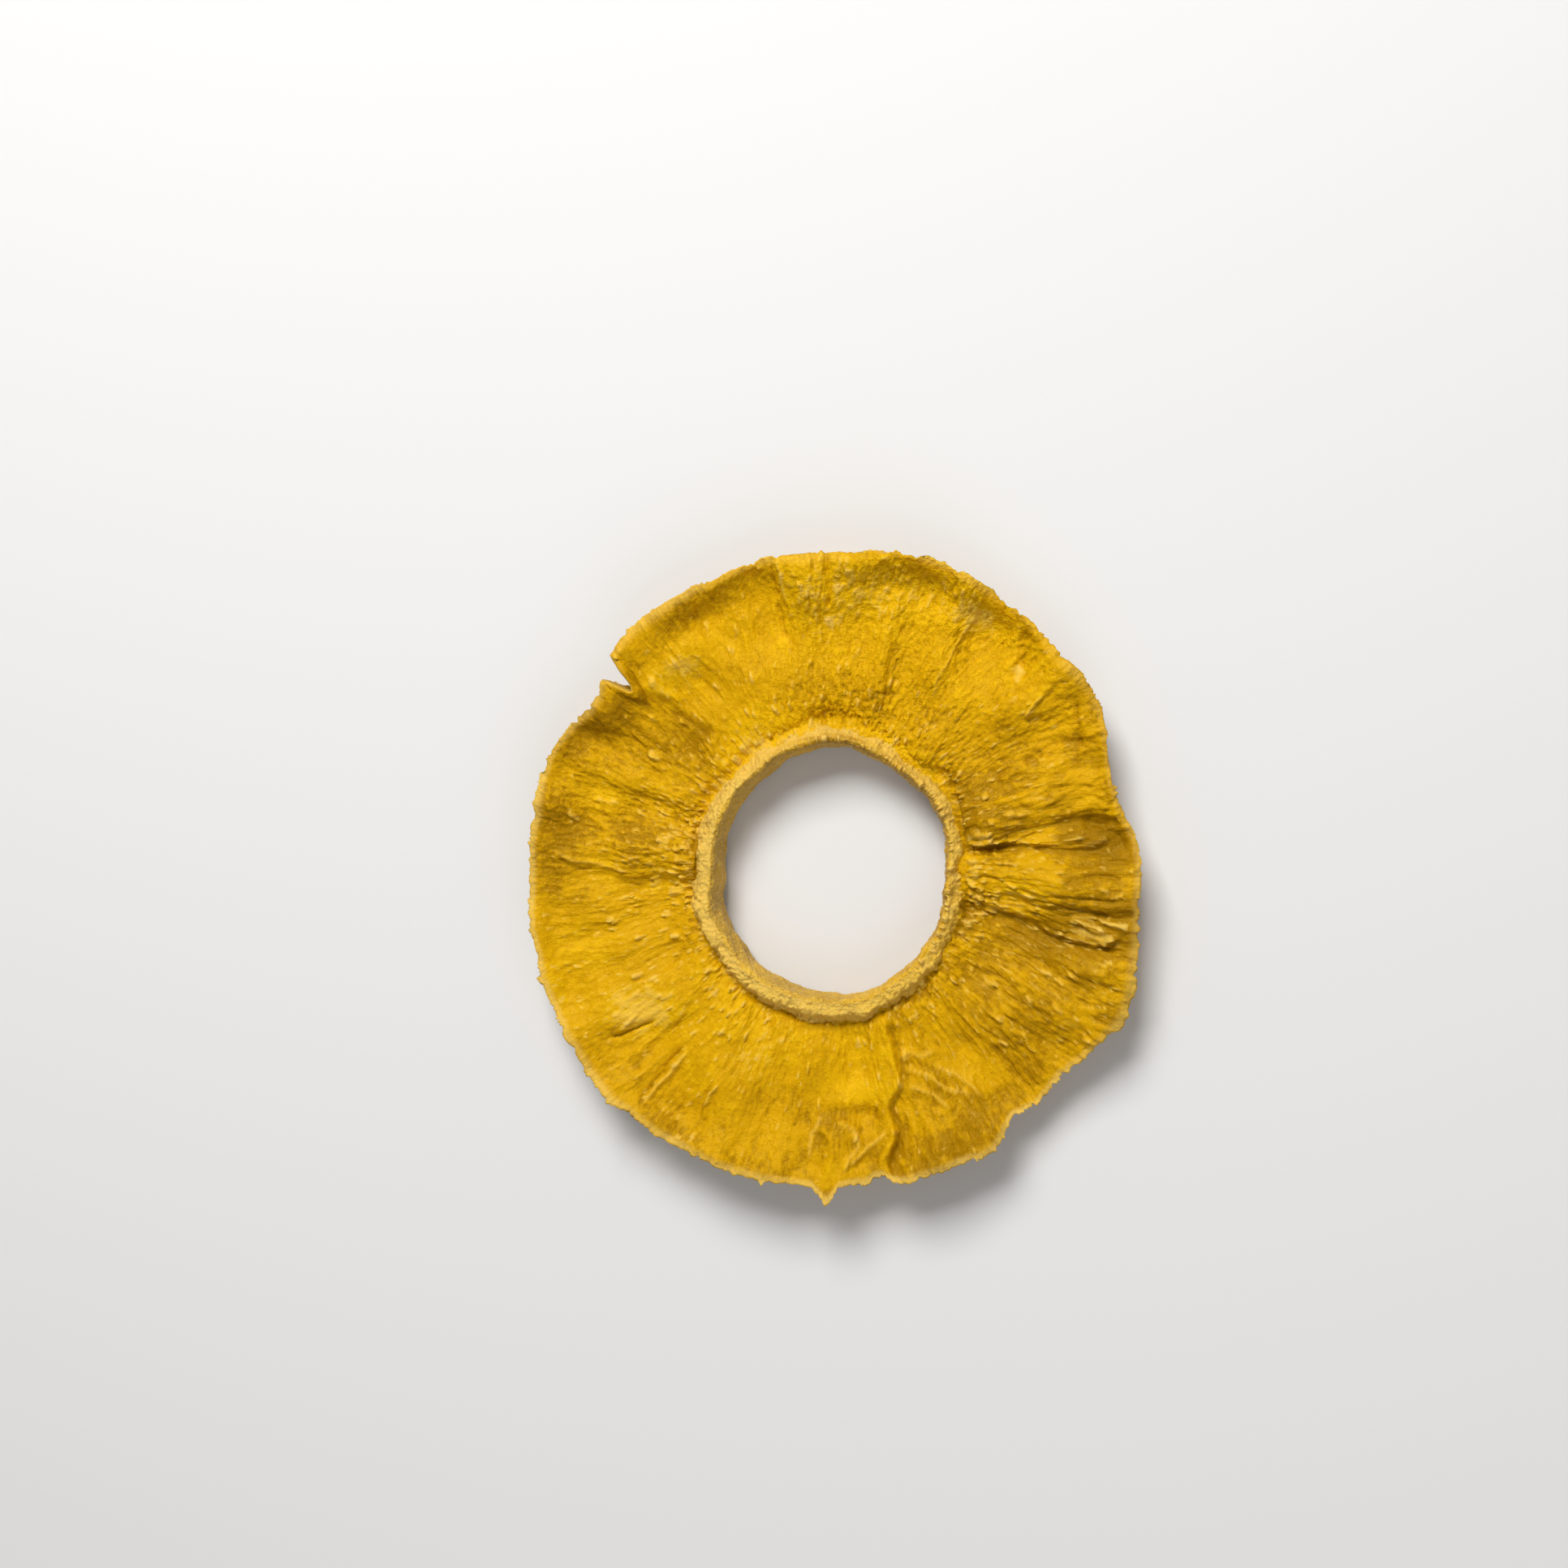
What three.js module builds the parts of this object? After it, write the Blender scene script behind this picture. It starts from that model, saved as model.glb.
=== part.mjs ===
// A dried pineapple ring: one slice across the peeled fruit with its core punched out,
// dried until the flesh has sunk to a web between a pale collar round the hole and a
// taller, puckered outer wall. It is one closed solid, a section carried once round the
// hole, whose outline, folds and curls all come from the named sizes below.
//
// Millimetres, +Z up. The ring lies on its underside and the origin is on the surface it
// lies on, under the middle of its outline. Angles are in degrees, counter-clockwise from
// +X as seen from above.

import * as THREE from 'three';
import { ParametricGeometry } from 'three/addons/geometries/ParametricGeometry.js';
import { mergeVertices } from 'three/addons/utils/BufferGeometryUtils.js';

// ---- driving sizes ----------------------------------------------------------------

const rimRadius = 39.6; // plain circle that the outline departs from
const holeRadius = 14.9; // plain circle of the punched hole
const holeOffset = 0.3; // the hole's middle, along X from the middle of the plain circle

const rimTop = 8.3; // height of the rim's upper edge
const webTop = 5.5; // height of the upper face between collar and rim
const webBottom = 1.7; // height of the underside there
const rimBottom = 0.25; // mean height of the lower edge, which meets the floor in three places

// The pale collar round the hole.
const collar = {
  width: 2.3, // from the hole to the foot of its outer flank
  crest: 0.9, // from the hole to its highest line
  top: 7.5,
  bottom: 0.7,
  creaseDepth: 0.45, // of the crease at the foot of the flank
  creaseWidth: 0.7,
};

const fleshColour = 0xd9a01c;
const fleshRoughness = 0.62;

// ---- how finely the skin is divided -------------------------------------------------

const stepsRound = 144;
const stepsUpper = 15;
const stepsWall = 7;
const stepsUnder = 11;
const stepsHole = 5;
const stepsSection = stepsUpper + stepsWall + stepsUnder + stepsHole;
const endCrowding = 0.62; // how much closer together the steps of a face are at its two ends
const weldDistance = 1e-4;

// ---- small helpers --------------------------------------------------------------------

const radians = (degrees) => (degrees * Math.PI) / 180;
const bump = (distance, width) => Math.exp(-((distance / width) ** 2));
const pointed = (distance, halfWidth) => Math.max(0, 1 - Math.abs(distance) / halfWidth);
const between = THREE.MathUtils.smoothstep;
const mix = THREE.MathUtils.lerp;
const total = (list, value) => list.reduce((sum, item) => sum + value(item), 0);

// The signed angle from one direction to another, between -180 and 180.
function turnBetween(from, to) {
  return THREE.MathUtils.euclideanModulo(to - from + 180, 360) - 180;
}

// Lobes are rounded swellings or hollows at an angle: by, over a spread to each side.
const lobes = (list, angle) => total(list, (lobe) => lobe.by * bump(turnBetween(lobe.at, angle), lobe.spread));

// Waves go round the ring a number of turns. Over the run of a section, from 0 to 1, each
// slides round by its slant.
const wave = ({ turns, phase, slant = 0 }, angle, run) => Math.sin(radians(turns * angle + phase + slant * run));
const waves = (list, angle, run = 0) => total(list, (item) => item.size * wave(item, angle, run));

// ---- outline and hole --------------------------------------------------------------

const outlineLobes = [
  { at: 2, by: -1.0, spread: 22 },
  { at: 17, by: -2.2, spread: 9 },
  { at: 76, by: 0.6, spread: 14 },
  { at: 116, by: -0.3, spread: 6 },
  { at: 148, by: -1.2, spread: 9 },
  { at: 176, by: -0.9, spread: 16 },
  { at: 205, by: 0.6, spread: 30 },
  { at: 229, by: 0.8, spread: 12 },
  { at: 280, by: -0.9, spread: 2 },
  { at: 306, by: -1.5, spread: 5 },
  { at: 318, by: -1.4, spread: 5 },
  { at: 337, by: 1.2, spread: 6.5 },
];
const outlinePuckers = [
  { size: 0.1, turns: 23, phase: 40 },
  { size: 0.12, turns: 37, phase: 200 },
];
const tear = { at: 137.5, depth: 4.4, halfMouth: 2.6 }; // a V torn in from the rim
const spike = { at: 270, reach: 1.6, halfBase: 2.6 }; // a tip drawn out from the upper edge

const holeLobes = [
  { at: 80, by: 0.8, spread: 28 },
  { at: 135, by: -0.3, spread: 20 },
  { at: 176, by: -0.6, spread: 16 },
  { at: 198, by: 0.5, spread: 9 },
  { at: 230, by: 0.6, spread: 20 },
  { at: 285, by: 0.6, spread: 18 },
  { at: 352, by: -0.5, spread: 20 },
];
const holePuckers = [{ size: 0.1, turns: 13, phase: 15 }];

// How far the outline departs from the plain circle, from the upper edge (down = 0) to the
// lower one (down = 1).
function outlineShift(angle, down) {
  const torn = tear.depth * pointed(turnBetween(tear.at, angle), tear.halfMouth);
  const drawn = spike.reach * pointed(turnBetween(spike.at, angle), spike.halfBase) * (1 - down) ** 2;
  return lobes(outlineLobes, angle) + waves(outlinePuckers, angle) - torn + drawn;
}

const holeEdge = (angle) => holeRadius + lobes(holeLobes, angle) + waves(holePuckers, angle);

// ---- folds and pleats -----------------------------------------------------------------

// Creases and ridges are straight in plan, from one point to another, with a half-width and
// a height, which is negative for a crease.
const upperFolds = [
  { from: [13, 4.4], to: [40, 3.6], width: 1.6, height: -1.5 },
  { from: [15, 0.4], to: [39, -1.8], width: 2.4, height: 0.9 },
  { from: [14, -3.2], to: [22, -6.6], width: 1.5, height: -0.9 },
  { from: [21, -6.4], to: [38, -9.0], width: 1.6, height: -1.2 },
  { from: [22, 8.5], to: [37, 10.0], width: 2.2, height: 0.6 },
  { from: [5.6, -17], to: [7.4, -40], width: 1.4, height: -0.8 },
  { from: [-26, -26.3], to: [-18, -18.3], width: 1.3, height: -0.6 },
  { from: [-19, 11.7], to: [-34, 19], width: 2.2, height: -0.7 },
  { from: [-24, 5.5], to: [-40, 6.6], width: 1.8, height: -0.8 },
  { from: [-22, -2], to: [-40, -4], width: 2.6, height: 0.4 },
  { from: [-1.4, 22], to: [-1.6, 40], width: 1.2, height: -0.5 },
  { from: [-7.4, 28], to: [-8.8, 40], width: 1.2, height: -0.6 },
  { from: [19.5, 24], to: [24, 29], width: 1.2, height: -0.7 },
  { from: [-12, -24], to: [-17, -36], width: 1.8, height: 0.4 },
  { from: [15, -19], to: [24, -30], width: 2.6, height: -0.6 },
  { from: [12, -24], to: [17, -36], width: 2.2, height: 0.5 },
];
const underFolds = [
  { from: [16, 6], to: [38, 12], width: 1.8, height: 0.9 },
  { from: [-17, 10], to: [-34, 22], width: 2.2, height: 0.8 },
  { from: [-10, -18], to: [-20, -34], width: 1.8, height: 0.9 },
  { from: [8, 20], to: [14, 36], width: 2.0, height: -0.6 },
  { from: [10, -18], to: [22, -32], width: 1.6, height: 0.7 },
  { from: [-20, -2], to: [-38, -4], width: 2.4, height: -0.5 },
];
const foldFade = 0.25; // share of a fold's length over which each end fades

// Fine pleats run out from the hole and deepen towards the rim.
const upperPleats = [
  { size: 0.18, turns: 11, phase: 70 },
  { size: 0.14, turns: 19, phase: 10 },
  { size: 0.12, turns: 31, phase: 250, slant: 60 },
];
const underPleats = [
  { size: 0.13, turns: 11, phase: 200 },
  { size: 0.1, turns: 19, phase: 40 },
  { size: 0.08, turns: 31, phase: 150, slant: 60 },
];
const pleatsAtCollar = 0.25; // share of their full height that the pleats have at the collar

// How much of a fold stands at a point: across its line, and fading at its two ends.
function foldAt(fold, x, y) {
  const run = new THREE.Vector2(fold.to[0] - fold.from[0], fold.to[1] - fold.from[1]);
  const length = run.length();
  run.divideScalar(length);
  const offset = new THREE.Vector2(x - fold.from[0], y - fold.from[1]);
  const along = offset.dot(run);
  const across = offset.cross(run);
  const fade = foldFade * length;
  const begun = between(along, -fade / 2, fade);
  const ended = between(along, length - fade, length + fade / 2);
  return fold.height * bump(across, fold.width) * begun * (1 - ended);
}

const folds = (list, x, y) => total(list, (fold) => foldAt(fold, x, y));
const pleats = (list, angle, share) => mix(pleatsAtCollar, 1, share) * waves(list, angle, share);

// The relief of a face starts past the collar, over this stretch.
const reliefStart = { from: 0.4, to: 3 };
const pastCollar = (fromCollar) => between(fromCollar, reliefStart.from, reliefStart.to);

// ---- upper face ---------------------------------------------------------------------

// Where the rim curls up above a trough, and where it droops or stands higher.
const curls = [
  { at: 119, by: 1.0, spread: 14 },
  { at: 73, by: 1.1, spread: 14 },
];
const curlWidth = 1.9;
const trough = { inset: 3.2, width: 1.5, depth: 0.55 }; // depth as a share of the curl
const droops = [
  { at: 9, by: -1.3, spread: 7 },
  { at: 322, by: -2.2, spread: 24 },
  { at: 30, by: -0.6, spread: 18 },
  { at: 255, by: 0.5, spread: 30 },
];
const upperDish = 2.6; // power by which the face climbs to the rim
const rimRounding = { drop: 0.5, width: 0.8 };

// The flesh is split from the collar to the rim, and lies lower to the right of the split.
const split = { x: 6.9, half: 1, drop: 0.9, fade: 7, near: -17, far: -22 };
// A seed pocket has left a low round swelling.
const swelling = { x: -0.8, y: -33, long: 7, short: 5, height: 1.0 };

function splitStep(x, y) {
  const right = between(x - split.x, -split.half, split.half);
  const faded = between(x - split.x, split.half, split.fade);
  return -split.drop * right * (1 - faded) * between(-y, -split.near, -split.far);
}

function swellingAt(x, y) {
  return swelling.height * bump(x - swelling.x, swelling.long) * bump(y - swelling.y, swelling.short);
}

// Heights over the plan point (x, y), a share of the way from collar to rim, at distances in
// millimetres from the collar's crest and from the rim's.
function upperHeight({ angle, x, y, share, fromCollar, fromRim }) {
  const flank = 1 - between(fromCollar, 0, collar.width - collar.crest);
  const crease = collar.creaseDepth * bump(fromCollar - collar.width, collar.creaseWidth);
  const rise = (rimTop - webTop + lobes(droops, angle)) * share ** upperDish;
  const lip = bump(fromRim, curlWidth) - trough.depth * bump(fromRim - trough.inset, trough.width);
  const curl = lobes(curls, angle) * lip;
  const rounding = rimRounding.drop * bump(fromRim, rimRounding.width);
  const relief = folds(upperFolds, x, y) + pleats(upperPleats, angle, share) + splitStep(x, y) + swellingAt(x, y);
  const base = webTop + (collar.top - webTop) * flank - crease + rise + curl - rounding;
  return base + pastCollar(fromCollar) * relief;
}

// ---- underside ------------------------------------------------------------------------

const underDish = 2.4; // power by which the underside falls to the lower edge
const feet = { size: -0.45, turns: 3, phase: 30 }; // the slow wave whose dips are the resting places
const foldsEnd = 6; // power that clears the folds from the lower edge

function underHeight({ angle, x, y, share, fromCollar }) {
  const flank = 1 - between(fromCollar, 0, collar.width);
  const fall = (rimBottom + waves([feet], angle) - webBottom) * share ** underDish;
  const relief = folds(underFolds, x, y) * (1 - share ** foldsEnd) + pleats(underPleats, angle, share);
  const height = webBottom + (collar.bottom - webBottom) * flank + fall + pastCollar(fromCollar) * relief;
  return Math.max(0, height);
}

// ---- outer wall -------------------------------------------------------------------------

// On the left the wall bellies out past the rim, and on the right the rim overhangs it.
const overhangAt = 10;
const leftness = (angle) => (1 - Math.cos(radians(angle - overhangAt))) / 2;
const rimInset = (angle) => mix(0.6, 2.2, leftness(angle)); // the belly stands out past the rim
const footInset = (angle) => mix(2.8, 1.2, leftness(angle)); // and past the lower edge
const bellyPlace = (angle) => mix(0.42, 0.95, leftness(angle)); // under 1 moves the belly up
const bellyFullness = 0.75; // under 1 makes the wall squarer
const edgeBlend = 0.12; // share of the wall's height in which it leaves each edge

// Crags are two slanting sets of waves multiplied into blocks, and finer wrinkles.
const cragHeight = 0.6;
const cragSets = [
  { turns: 9, phase: 40, slant: 160 },
  { turns: 14, phase: 100, slant: -210 },
];
const wrinkles = [
  { size: 0.26, turns: 26, phase: 0, slant: 300 },
  { size: 0.2, turns: 41, phase: 90, slant: 500 },
];

function crags(angle, down) {
  const blocks = cragSets.reduce((product, set) => product * wave(set, angle, down), cragHeight);
  return blocks + waves(wrinkles, angle, down);
}

// A share from 0 to 1 that starts and ends slowly, as the height of a rounded wall does.
const rounded = (share) => (1 - Math.cos(Math.PI * share)) / 2;

// A point of the wall, some way down from the rim to the foot.
function wallPoint(angle, down) {
  const rim = upperPoint(angle, 1);
  const foot = underPoint(angle, 1);
  const belly = Math.sin(Math.PI * down ** bellyPlace(angle));
  const inset = down < 0.5 ? rimInset(angle) : footInset(angle);
  const widest = mix(rim.radius + rimInset(angle), foot.radius + footInset(angle), down);
  const bellied = widest - inset * (1 - belly ** bellyFullness);
  const straight = mix(rim.radius, foot.radius, down);
  const away = between(Math.min(down, 1 - down), 0, edgeBlend);
  const radius = mix(straight, bellied, away) + crags(angle, down) * belly;
  return { radius, share: 1, height: mix(rim.height, foot.height, rounded(down)) };
}

// ---- upper face, underside and hole as points of the section --------------------------------

const centreX = (share) => holeOffset * (1 - share);

// A point of a face, the given share of the way from collar to rim.
function facePoint(angle, share, inset, shift, heightAt) {
  const start = holeEdge(angle) + collar.crest;
  const end = rimRadius - inset;
  const radius = mix(start, end, share) + shift * share ** 3;
  const x = centreX(share) + radius * Math.cos(radians(angle));
  const y = radius * Math.sin(radians(angle));
  const place = { angle, x, y, share, fromCollar: radius - start, fromRim: end + shift - radius };
  return { radius, share, height: heightAt(place) };
}

const upperPoint = (angle, share) => facePoint(angle, share, rimInset(angle), outlineShift(angle, 0), upperHeight);
const underPoint = (angle, share) => facePoint(angle, share, footInset(angle), outlineShift(angle, 1), underHeight);

const holeFullness = 0.5; // under 1 makes the hole's wall squarer
const holeRoughness = [{ size: 0.12, turns: 17, phase: 0, slant: 240 }];

// A point of the hole's wall, some way up from the underside to the collar's crest.
function holePoint(angle, up) {
  const waist = Math.sin(Math.PI * up) ** holeFullness;
  const radius = holeEdge(angle) + collar.crest * (1 - waist) + waves(holeRoughness, angle, up) * waist;
  const height = mix(underPoint(angle, 0).height, upperPoint(angle, 0).height, rounded(up));
  return { radius, share: 0, height };
}

// ---- the section, carried round the hole -------------------------------------------------

const crowded = (share) => share - (endCrowding * Math.sin(2 * Math.PI * share)) / (2 * Math.PI);

// The section's point at a step along it: over the upper face, down the outer wall, back
// under the web and up the wall of the hole.
function sectionPoint(angle, step) {
  if (step <= stepsUpper) return upperPoint(angle, crowded(step / stepsUpper));
  const downWall = step - stepsUpper;
  if (downWall <= stepsWall) return wallPoint(angle, downWall / stepsWall);
  const inUnder = downWall - stepsWall;
  if (inUnder <= stepsUnder) return underPoint(angle, crowded(1 - inUnder / stepsUnder));
  return holePoint(angle, (inUnder - stepsUnder) / stepsHole);
}

// The skin's first and last lines fall on the same whole steps, so that it closes exactly.
function skin(u, v, target) {
  const angle = (360 / stepsRound) * (Math.round(u * stepsRound) % stepsRound);
  const step = Math.round((1 - v) * stepsSection) % stepsSection;
  const { radius, share, height } = sectionPoint(angle, step);
  const x = centreX(share) + radius * Math.cos(radians(angle));
  const y = radius * Math.sin(radians(angle));
  target.set(x, y, height);
}

function ringGeometry() {
  const open = new ParametricGeometry(skin, stepsRound, stepsSection);
  open.deleteAttribute('normal');
  open.deleteAttribute('uv');
  const geometry = mergeVertices(open, weldDistance);
  geometry.computeBoundingBox();
  const { min, max } = geometry.boundingBox;
  geometry.translate(-(min.x + max.x) / 2, -(min.y + max.y) / 2, -min.z);
  geometry.computeVertexNormals();
  return geometry;
}

const flesh = new THREE.MeshStandardMaterial({ color: fleshColour, roughness: fleshRoughness, metalness: 0 });
const ring = new THREE.Mesh(ringGeometry(), flesh);
ring.name = 'pineapple_ring';

const pineapple = new THREE.Group();
pineapple.add(ring);

export default pineapple;
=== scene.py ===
# A dried pineapple ring: a cored slice of the fruit, dried to a golden, fibrous web between a
# pale collar round the hole and a puckered outer wall. +Z is up and the ring lies on its
# underside. Sizes and places are in millimetres, and MM makes metres of them.

import math

import bpy
import numpy as np
from mathutils import Matrix, Vector


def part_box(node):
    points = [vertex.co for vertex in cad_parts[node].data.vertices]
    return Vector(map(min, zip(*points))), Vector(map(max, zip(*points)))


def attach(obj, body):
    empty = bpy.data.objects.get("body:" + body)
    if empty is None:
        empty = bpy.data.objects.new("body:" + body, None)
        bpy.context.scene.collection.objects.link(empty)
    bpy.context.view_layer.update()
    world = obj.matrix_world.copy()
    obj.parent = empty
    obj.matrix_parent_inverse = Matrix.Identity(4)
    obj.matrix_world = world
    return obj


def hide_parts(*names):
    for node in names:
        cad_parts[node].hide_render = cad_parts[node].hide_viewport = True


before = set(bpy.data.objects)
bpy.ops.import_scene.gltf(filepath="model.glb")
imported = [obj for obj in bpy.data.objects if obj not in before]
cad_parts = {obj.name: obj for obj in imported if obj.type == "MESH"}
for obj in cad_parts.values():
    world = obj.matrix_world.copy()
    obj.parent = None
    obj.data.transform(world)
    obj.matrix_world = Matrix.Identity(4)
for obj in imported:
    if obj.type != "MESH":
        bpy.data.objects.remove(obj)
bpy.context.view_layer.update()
MM = 0.001

# ---- The web -----------------------------------------------------------------------------
# The cut upper face of the slice: flesh dried to strands that run out from the hole to a
# ragged rim. It is a torus, whose section is shaped as the face above and a back inside.

RIM_RADIUS = 39.6  # plain circle that the outline departs from
HOLE_RADIUS = 14.9  # plain circle of the punched hole
HOLE_OFFSET = 0.3  # the hole's middle, along X from the middle of the plain circle
RIM_TOP, WEB_TOP = 8.3, 5.5
WEB_BOTTOM, RIM_BOTTOM = 1.7, 0.25
COLLAR = {"width": 2.3, "crest": 0.9, "top": 7.5, "bottom": 0.7, "crease": 0.45, "crease_width": 0.7}
MIDDLE_RADIUS = (RIM_RADIUS + HOLE_RADIUS) / 2
CUTS = 7  # parts that each side of the torus's faces is cut into


def ring_of(name, columns, rows):
    """A torus of the slice's size, cut finely, and the column and row that each vertex is in."""
    bpy.ops.object.select_all(action="DESELECT")
    bpy.ops.mesh.primitive_torus_add(
        major_segments=columns // CUTS,
        minor_segments=rows // CUTS,
        major_radius=MIDDLE_RADIUS * MM,
        minor_radius=RIM_TOP / 2 * MM,
        location=(0, 0, RIM_TOP / 2 * MM),
    )
    piece = bpy.context.object
    piece.name = name
    bpy.ops.object.transform_apply(location=True, rotation=True, scale=True)
    bpy.ops.object.mode_set(mode="EDIT")
    bpy.ops.mesh.select_all(action="SELECT")
    bpy.ops.mesh.subdivide(number_cuts=CUTS - 1)
    bpy.ops.object.mode_set(mode="OBJECT")
    bpy.ops.object.shade_smooth()
    found = np.empty(len(piece.data.vertices) * 3)
    piece.data.vertices.foreach_get("co", found)
    found = found.reshape(-1, 3) / MM
    round_ring = np.arctan2(found[:, 1], found[:, 0]) / (2 * np.pi)
    from_middle = np.hypot(found[:, 0], found[:, 1]) - MIDDLE_RADIUS
    over = np.arctan2(found[:, 2] - RIM_TOP / 2, from_middle) / (2 * np.pi)
    column = np.round(round_ring * columns).astype(int) % columns
    row = -np.round(over * rows).astype(int) % rows
    return piece, (column, row)


WEB = {"columns": 1183, "face": 68, "lip": 8, "back": 8}
web, web_places = ring_of("ring_web", WEB["columns"], WEB["face"] + WEB["lip"] + WEB["back"])


def bump(distance, width):
    return np.exp(-((distance / width) ** 2))


def pointed(distance, half_width):
    return np.maximum(0, 1 - np.abs(distance) / half_width)


def between(value, low, high):
    t = np.clip((value - low) / (high - low), 0, 1)
    return t * t * (3 - 2 * t)


def mix(a, b, share):
    return a + (b - a) * share


def turn_between(start, end):
    return (end - start + 180) % 360 - 180


def around(radius, angle):
    """X and Y at a radius and an angle in degrees."""
    return radius * np.cos(np.radians(angle)), radius * np.sin(np.radians(angle))


def lobes(items, angle):
    """Rounded swellings or hollows: (at an angle, by, over a spread to each side)."""
    return sum(by * bump(turn_between(at, angle), spread) for at, by, spread in items)


def wave(angle, run, turns, phase, slant=0):
    return np.sin(np.radians(turns * angle + phase + slant * run))


def waves(items, angle, run=0):
    """Waves round the ring: (size, turns, phase, slant over the run)."""
    return sum(size * wave(angle, run, *rest) for size, *rest in items)


# A smooth gradient noise, the same on every run, for relief finer than the named folds.
LATTICE, NOISE_SEED, NOISE_GAIN = 256, 11, 1.6
drawn = np.random.default_rng(NOISE_SEED)
shuffle = drawn.permutation(LATTICE)
slopes = drawn.normal(size=(LATTICE, 3))
slopes /= np.linalg.norm(slopes, axis=1)[:, None]


def noise(x, y, z):
    """Smooth lumps and hollows, about one to each unit, mostly between -1 and 1."""
    cell = [np.floor(v).astype(int) for v in (x, y, z)]
    part = [v - c for v, c in zip((x, y, z), cell)]
    eased = [p**3 * (p * (p * 6 - 15) + 10) for p in part]
    value = 0
    for corner in np.ndindex(2, 2, 2):
        spot = shuffle[(cell[0] + corner[0]) % LATTICE]
        spot = shuffle[(spot + cell[1] + corner[1]) % LATTICE]
        slope = slopes[shuffle[(spot + cell[2] + corner[2]) % LATTICE]]
        reach = sum(slope[..., i] * (part[i] - corner[i]) for i in range(3))
        weight = 1
        for i in range(3):
            weight = weight * (eased[i] if corner[i] else 1 - eased[i])
        value = value + weight * reach
    return value * NOISE_GAIN


# Outline and hole: (at an angle, by, over a spread to each side).
OUTLINE_LOBES = [
    (2, -1.0, 22), (17, -2.2, 9), (76, 0.6, 14), (116, -0.3, 6), (143, -2.0, 5), (150, -1.2, 9),
    (176, -0.9, 16), (205, 0.6, 30), (229, 0.8, 12), (280, -0.9, 2), (300, 0.6, 4), (308, -1.5, 4),
    (318, -1.4, 5), (337, 1.2, 6.5),
]
OUTLINE_PUCKERS = [(0.12, 23, 40)]
TEAR = {"at": 137.5, "depth": 4.6, "half_mouth": 2.4}
SPIKE = {"at": 270, "reach": 1.6, "half_base": 2.6}
HOLE_LOBES = [
    (0, -0.5, 18), (62, -0.8, 22), (80, 0.8, 28), (135, -0.3, 20), (176, -0.6, 16), (198, 0.5, 9),
    (230, 0.6, 20), (262, 0.4, 24), (285, 0.6, 18), (352, -0.5, 20),
]
HOLE_PUCKERS = [(0.05, 13, 15)]
OUTLINE_GROWTH = 3  # the power of the way out by which the outline's shape comes in


def outline_shift(angle, down):
    torn = TEAR["depth"] * pointed(turn_between(TEAR["at"], angle), TEAR["half_mouth"])
    drawn_out = SPIKE["reach"] * pointed(turn_between(SPIKE["at"], angle), SPIKE["half_base"])
    drawn_out = drawn_out * (1 - down) ** 2
    return lobes(OUTLINE_LOBES, angle) + waves(OUTLINE_PUCKERS, angle) - torn + drawn_out


def hole_edge(angle):
    return HOLE_RADIUS + lobes(HOLE_LOBES, angle) + waves(HOLE_PUCKERS, angle)


def crest_radius(angle):
    return hole_edge(angle) + COLLAR["crest"]


# Folds: (from, to, half-width, height), straight in plan; a crease has a negative height.
UPPER_FOLDS = [
    ((13, 3.6), (40, 3.0), 1.4, -0.8), ((15, 0.4), (39, -1.8), 2.4, 0.9),
    ((14, -3.4), (22, -6.8), 1.4, -0.6), ((21, -7.0), (38, -9.6), 1.6, -0.8),
    ((22, 8.5), (37, 10.0), 2.2, 0.6), ((-26, -26.3), (-18, -18.3), 0.8, -0.7),
    ((-19, 11.7), (-34, 19), 2.2, -0.7), ((-24, 5.5), (-40, 6.6), 1.6, -0.8),
    ((-22, -2), (-40, -4), 2.6, 0.4), ((-12, -24), (-17, -36), 1.8, 0.4),
    ((15, -19), (24, -30), 2.4, -1.0), ((11, -24), (16, -36), 2.6, 0.8),
]
UNDER_FOLDS = [
    ((16, 6), (38, 12), 1.8, 0.9), ((-17, 10), (-34, 22), 2.2, 0.8), ((-10, -18), (-20, -34), 1.8, 0.9),
    ((8, 20), (14, 36), 2.0, -0.6), ((10, -18), (22, -32), 1.6, 0.7), ((-20, -2), (-38, -4), 2.4, -0.5),
]
FOLD_FADE = 0.25
UPPER_PLEATS = [(0.24, 11, 70), (0.22, 19, 10), (0.18, 31, 250, 60)]
UNDER_PLEATS = [(0.13, 11, 200), (0.1, 19, 40), (0.08, 31, 150, 60)]
PLEATS_AT_COLLAR = 0.25


def folds(items, x, y):
    height = 0
    for start, end, width, tall in items:
        run = np.subtract(end, start)
        length = np.hypot(*run)
        run = run / length
        along = (x - start[0]) * run[0] + (y - start[1]) * run[1]
        across = (x - start[0]) * run[1] - (y - start[1]) * run[0]
        fade = FOLD_FADE * length
        kept = between(along, -fade / 2, fade) * (1 - between(along, length - fade, length + fade / 2))
        height = height + tall * bump(across, width) * kept
    return height


def pleats(items, angle, share):
    return mix(PLEATS_AT_COLLAR, 1, share) * waves(items, angle, share)


# Upper face.
CURLS = [(119, 1.3, 14), (73, 1.4, 16)]
CURL_WIDTH = 2.3
TROUGH = {"inset": 3.8, "width": 1.9, "depth": 0.5}
DROOPS = [(9, -1.3, 7), (322, -2.2, 24), (30, -0.6, 18), (255, 0.5, 30)]
UPPER_DISH, UNDER_DISH = 2.6, 2.4
RIM_ROUNDING = {"drop": 0.25, "width": 0.5}
SWELLING = {"x": 1.6, "y": -34, "long": 5.2, "short": 4.2, "height": 1.2}
RELIEF_START = (0.4, 3)


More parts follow.
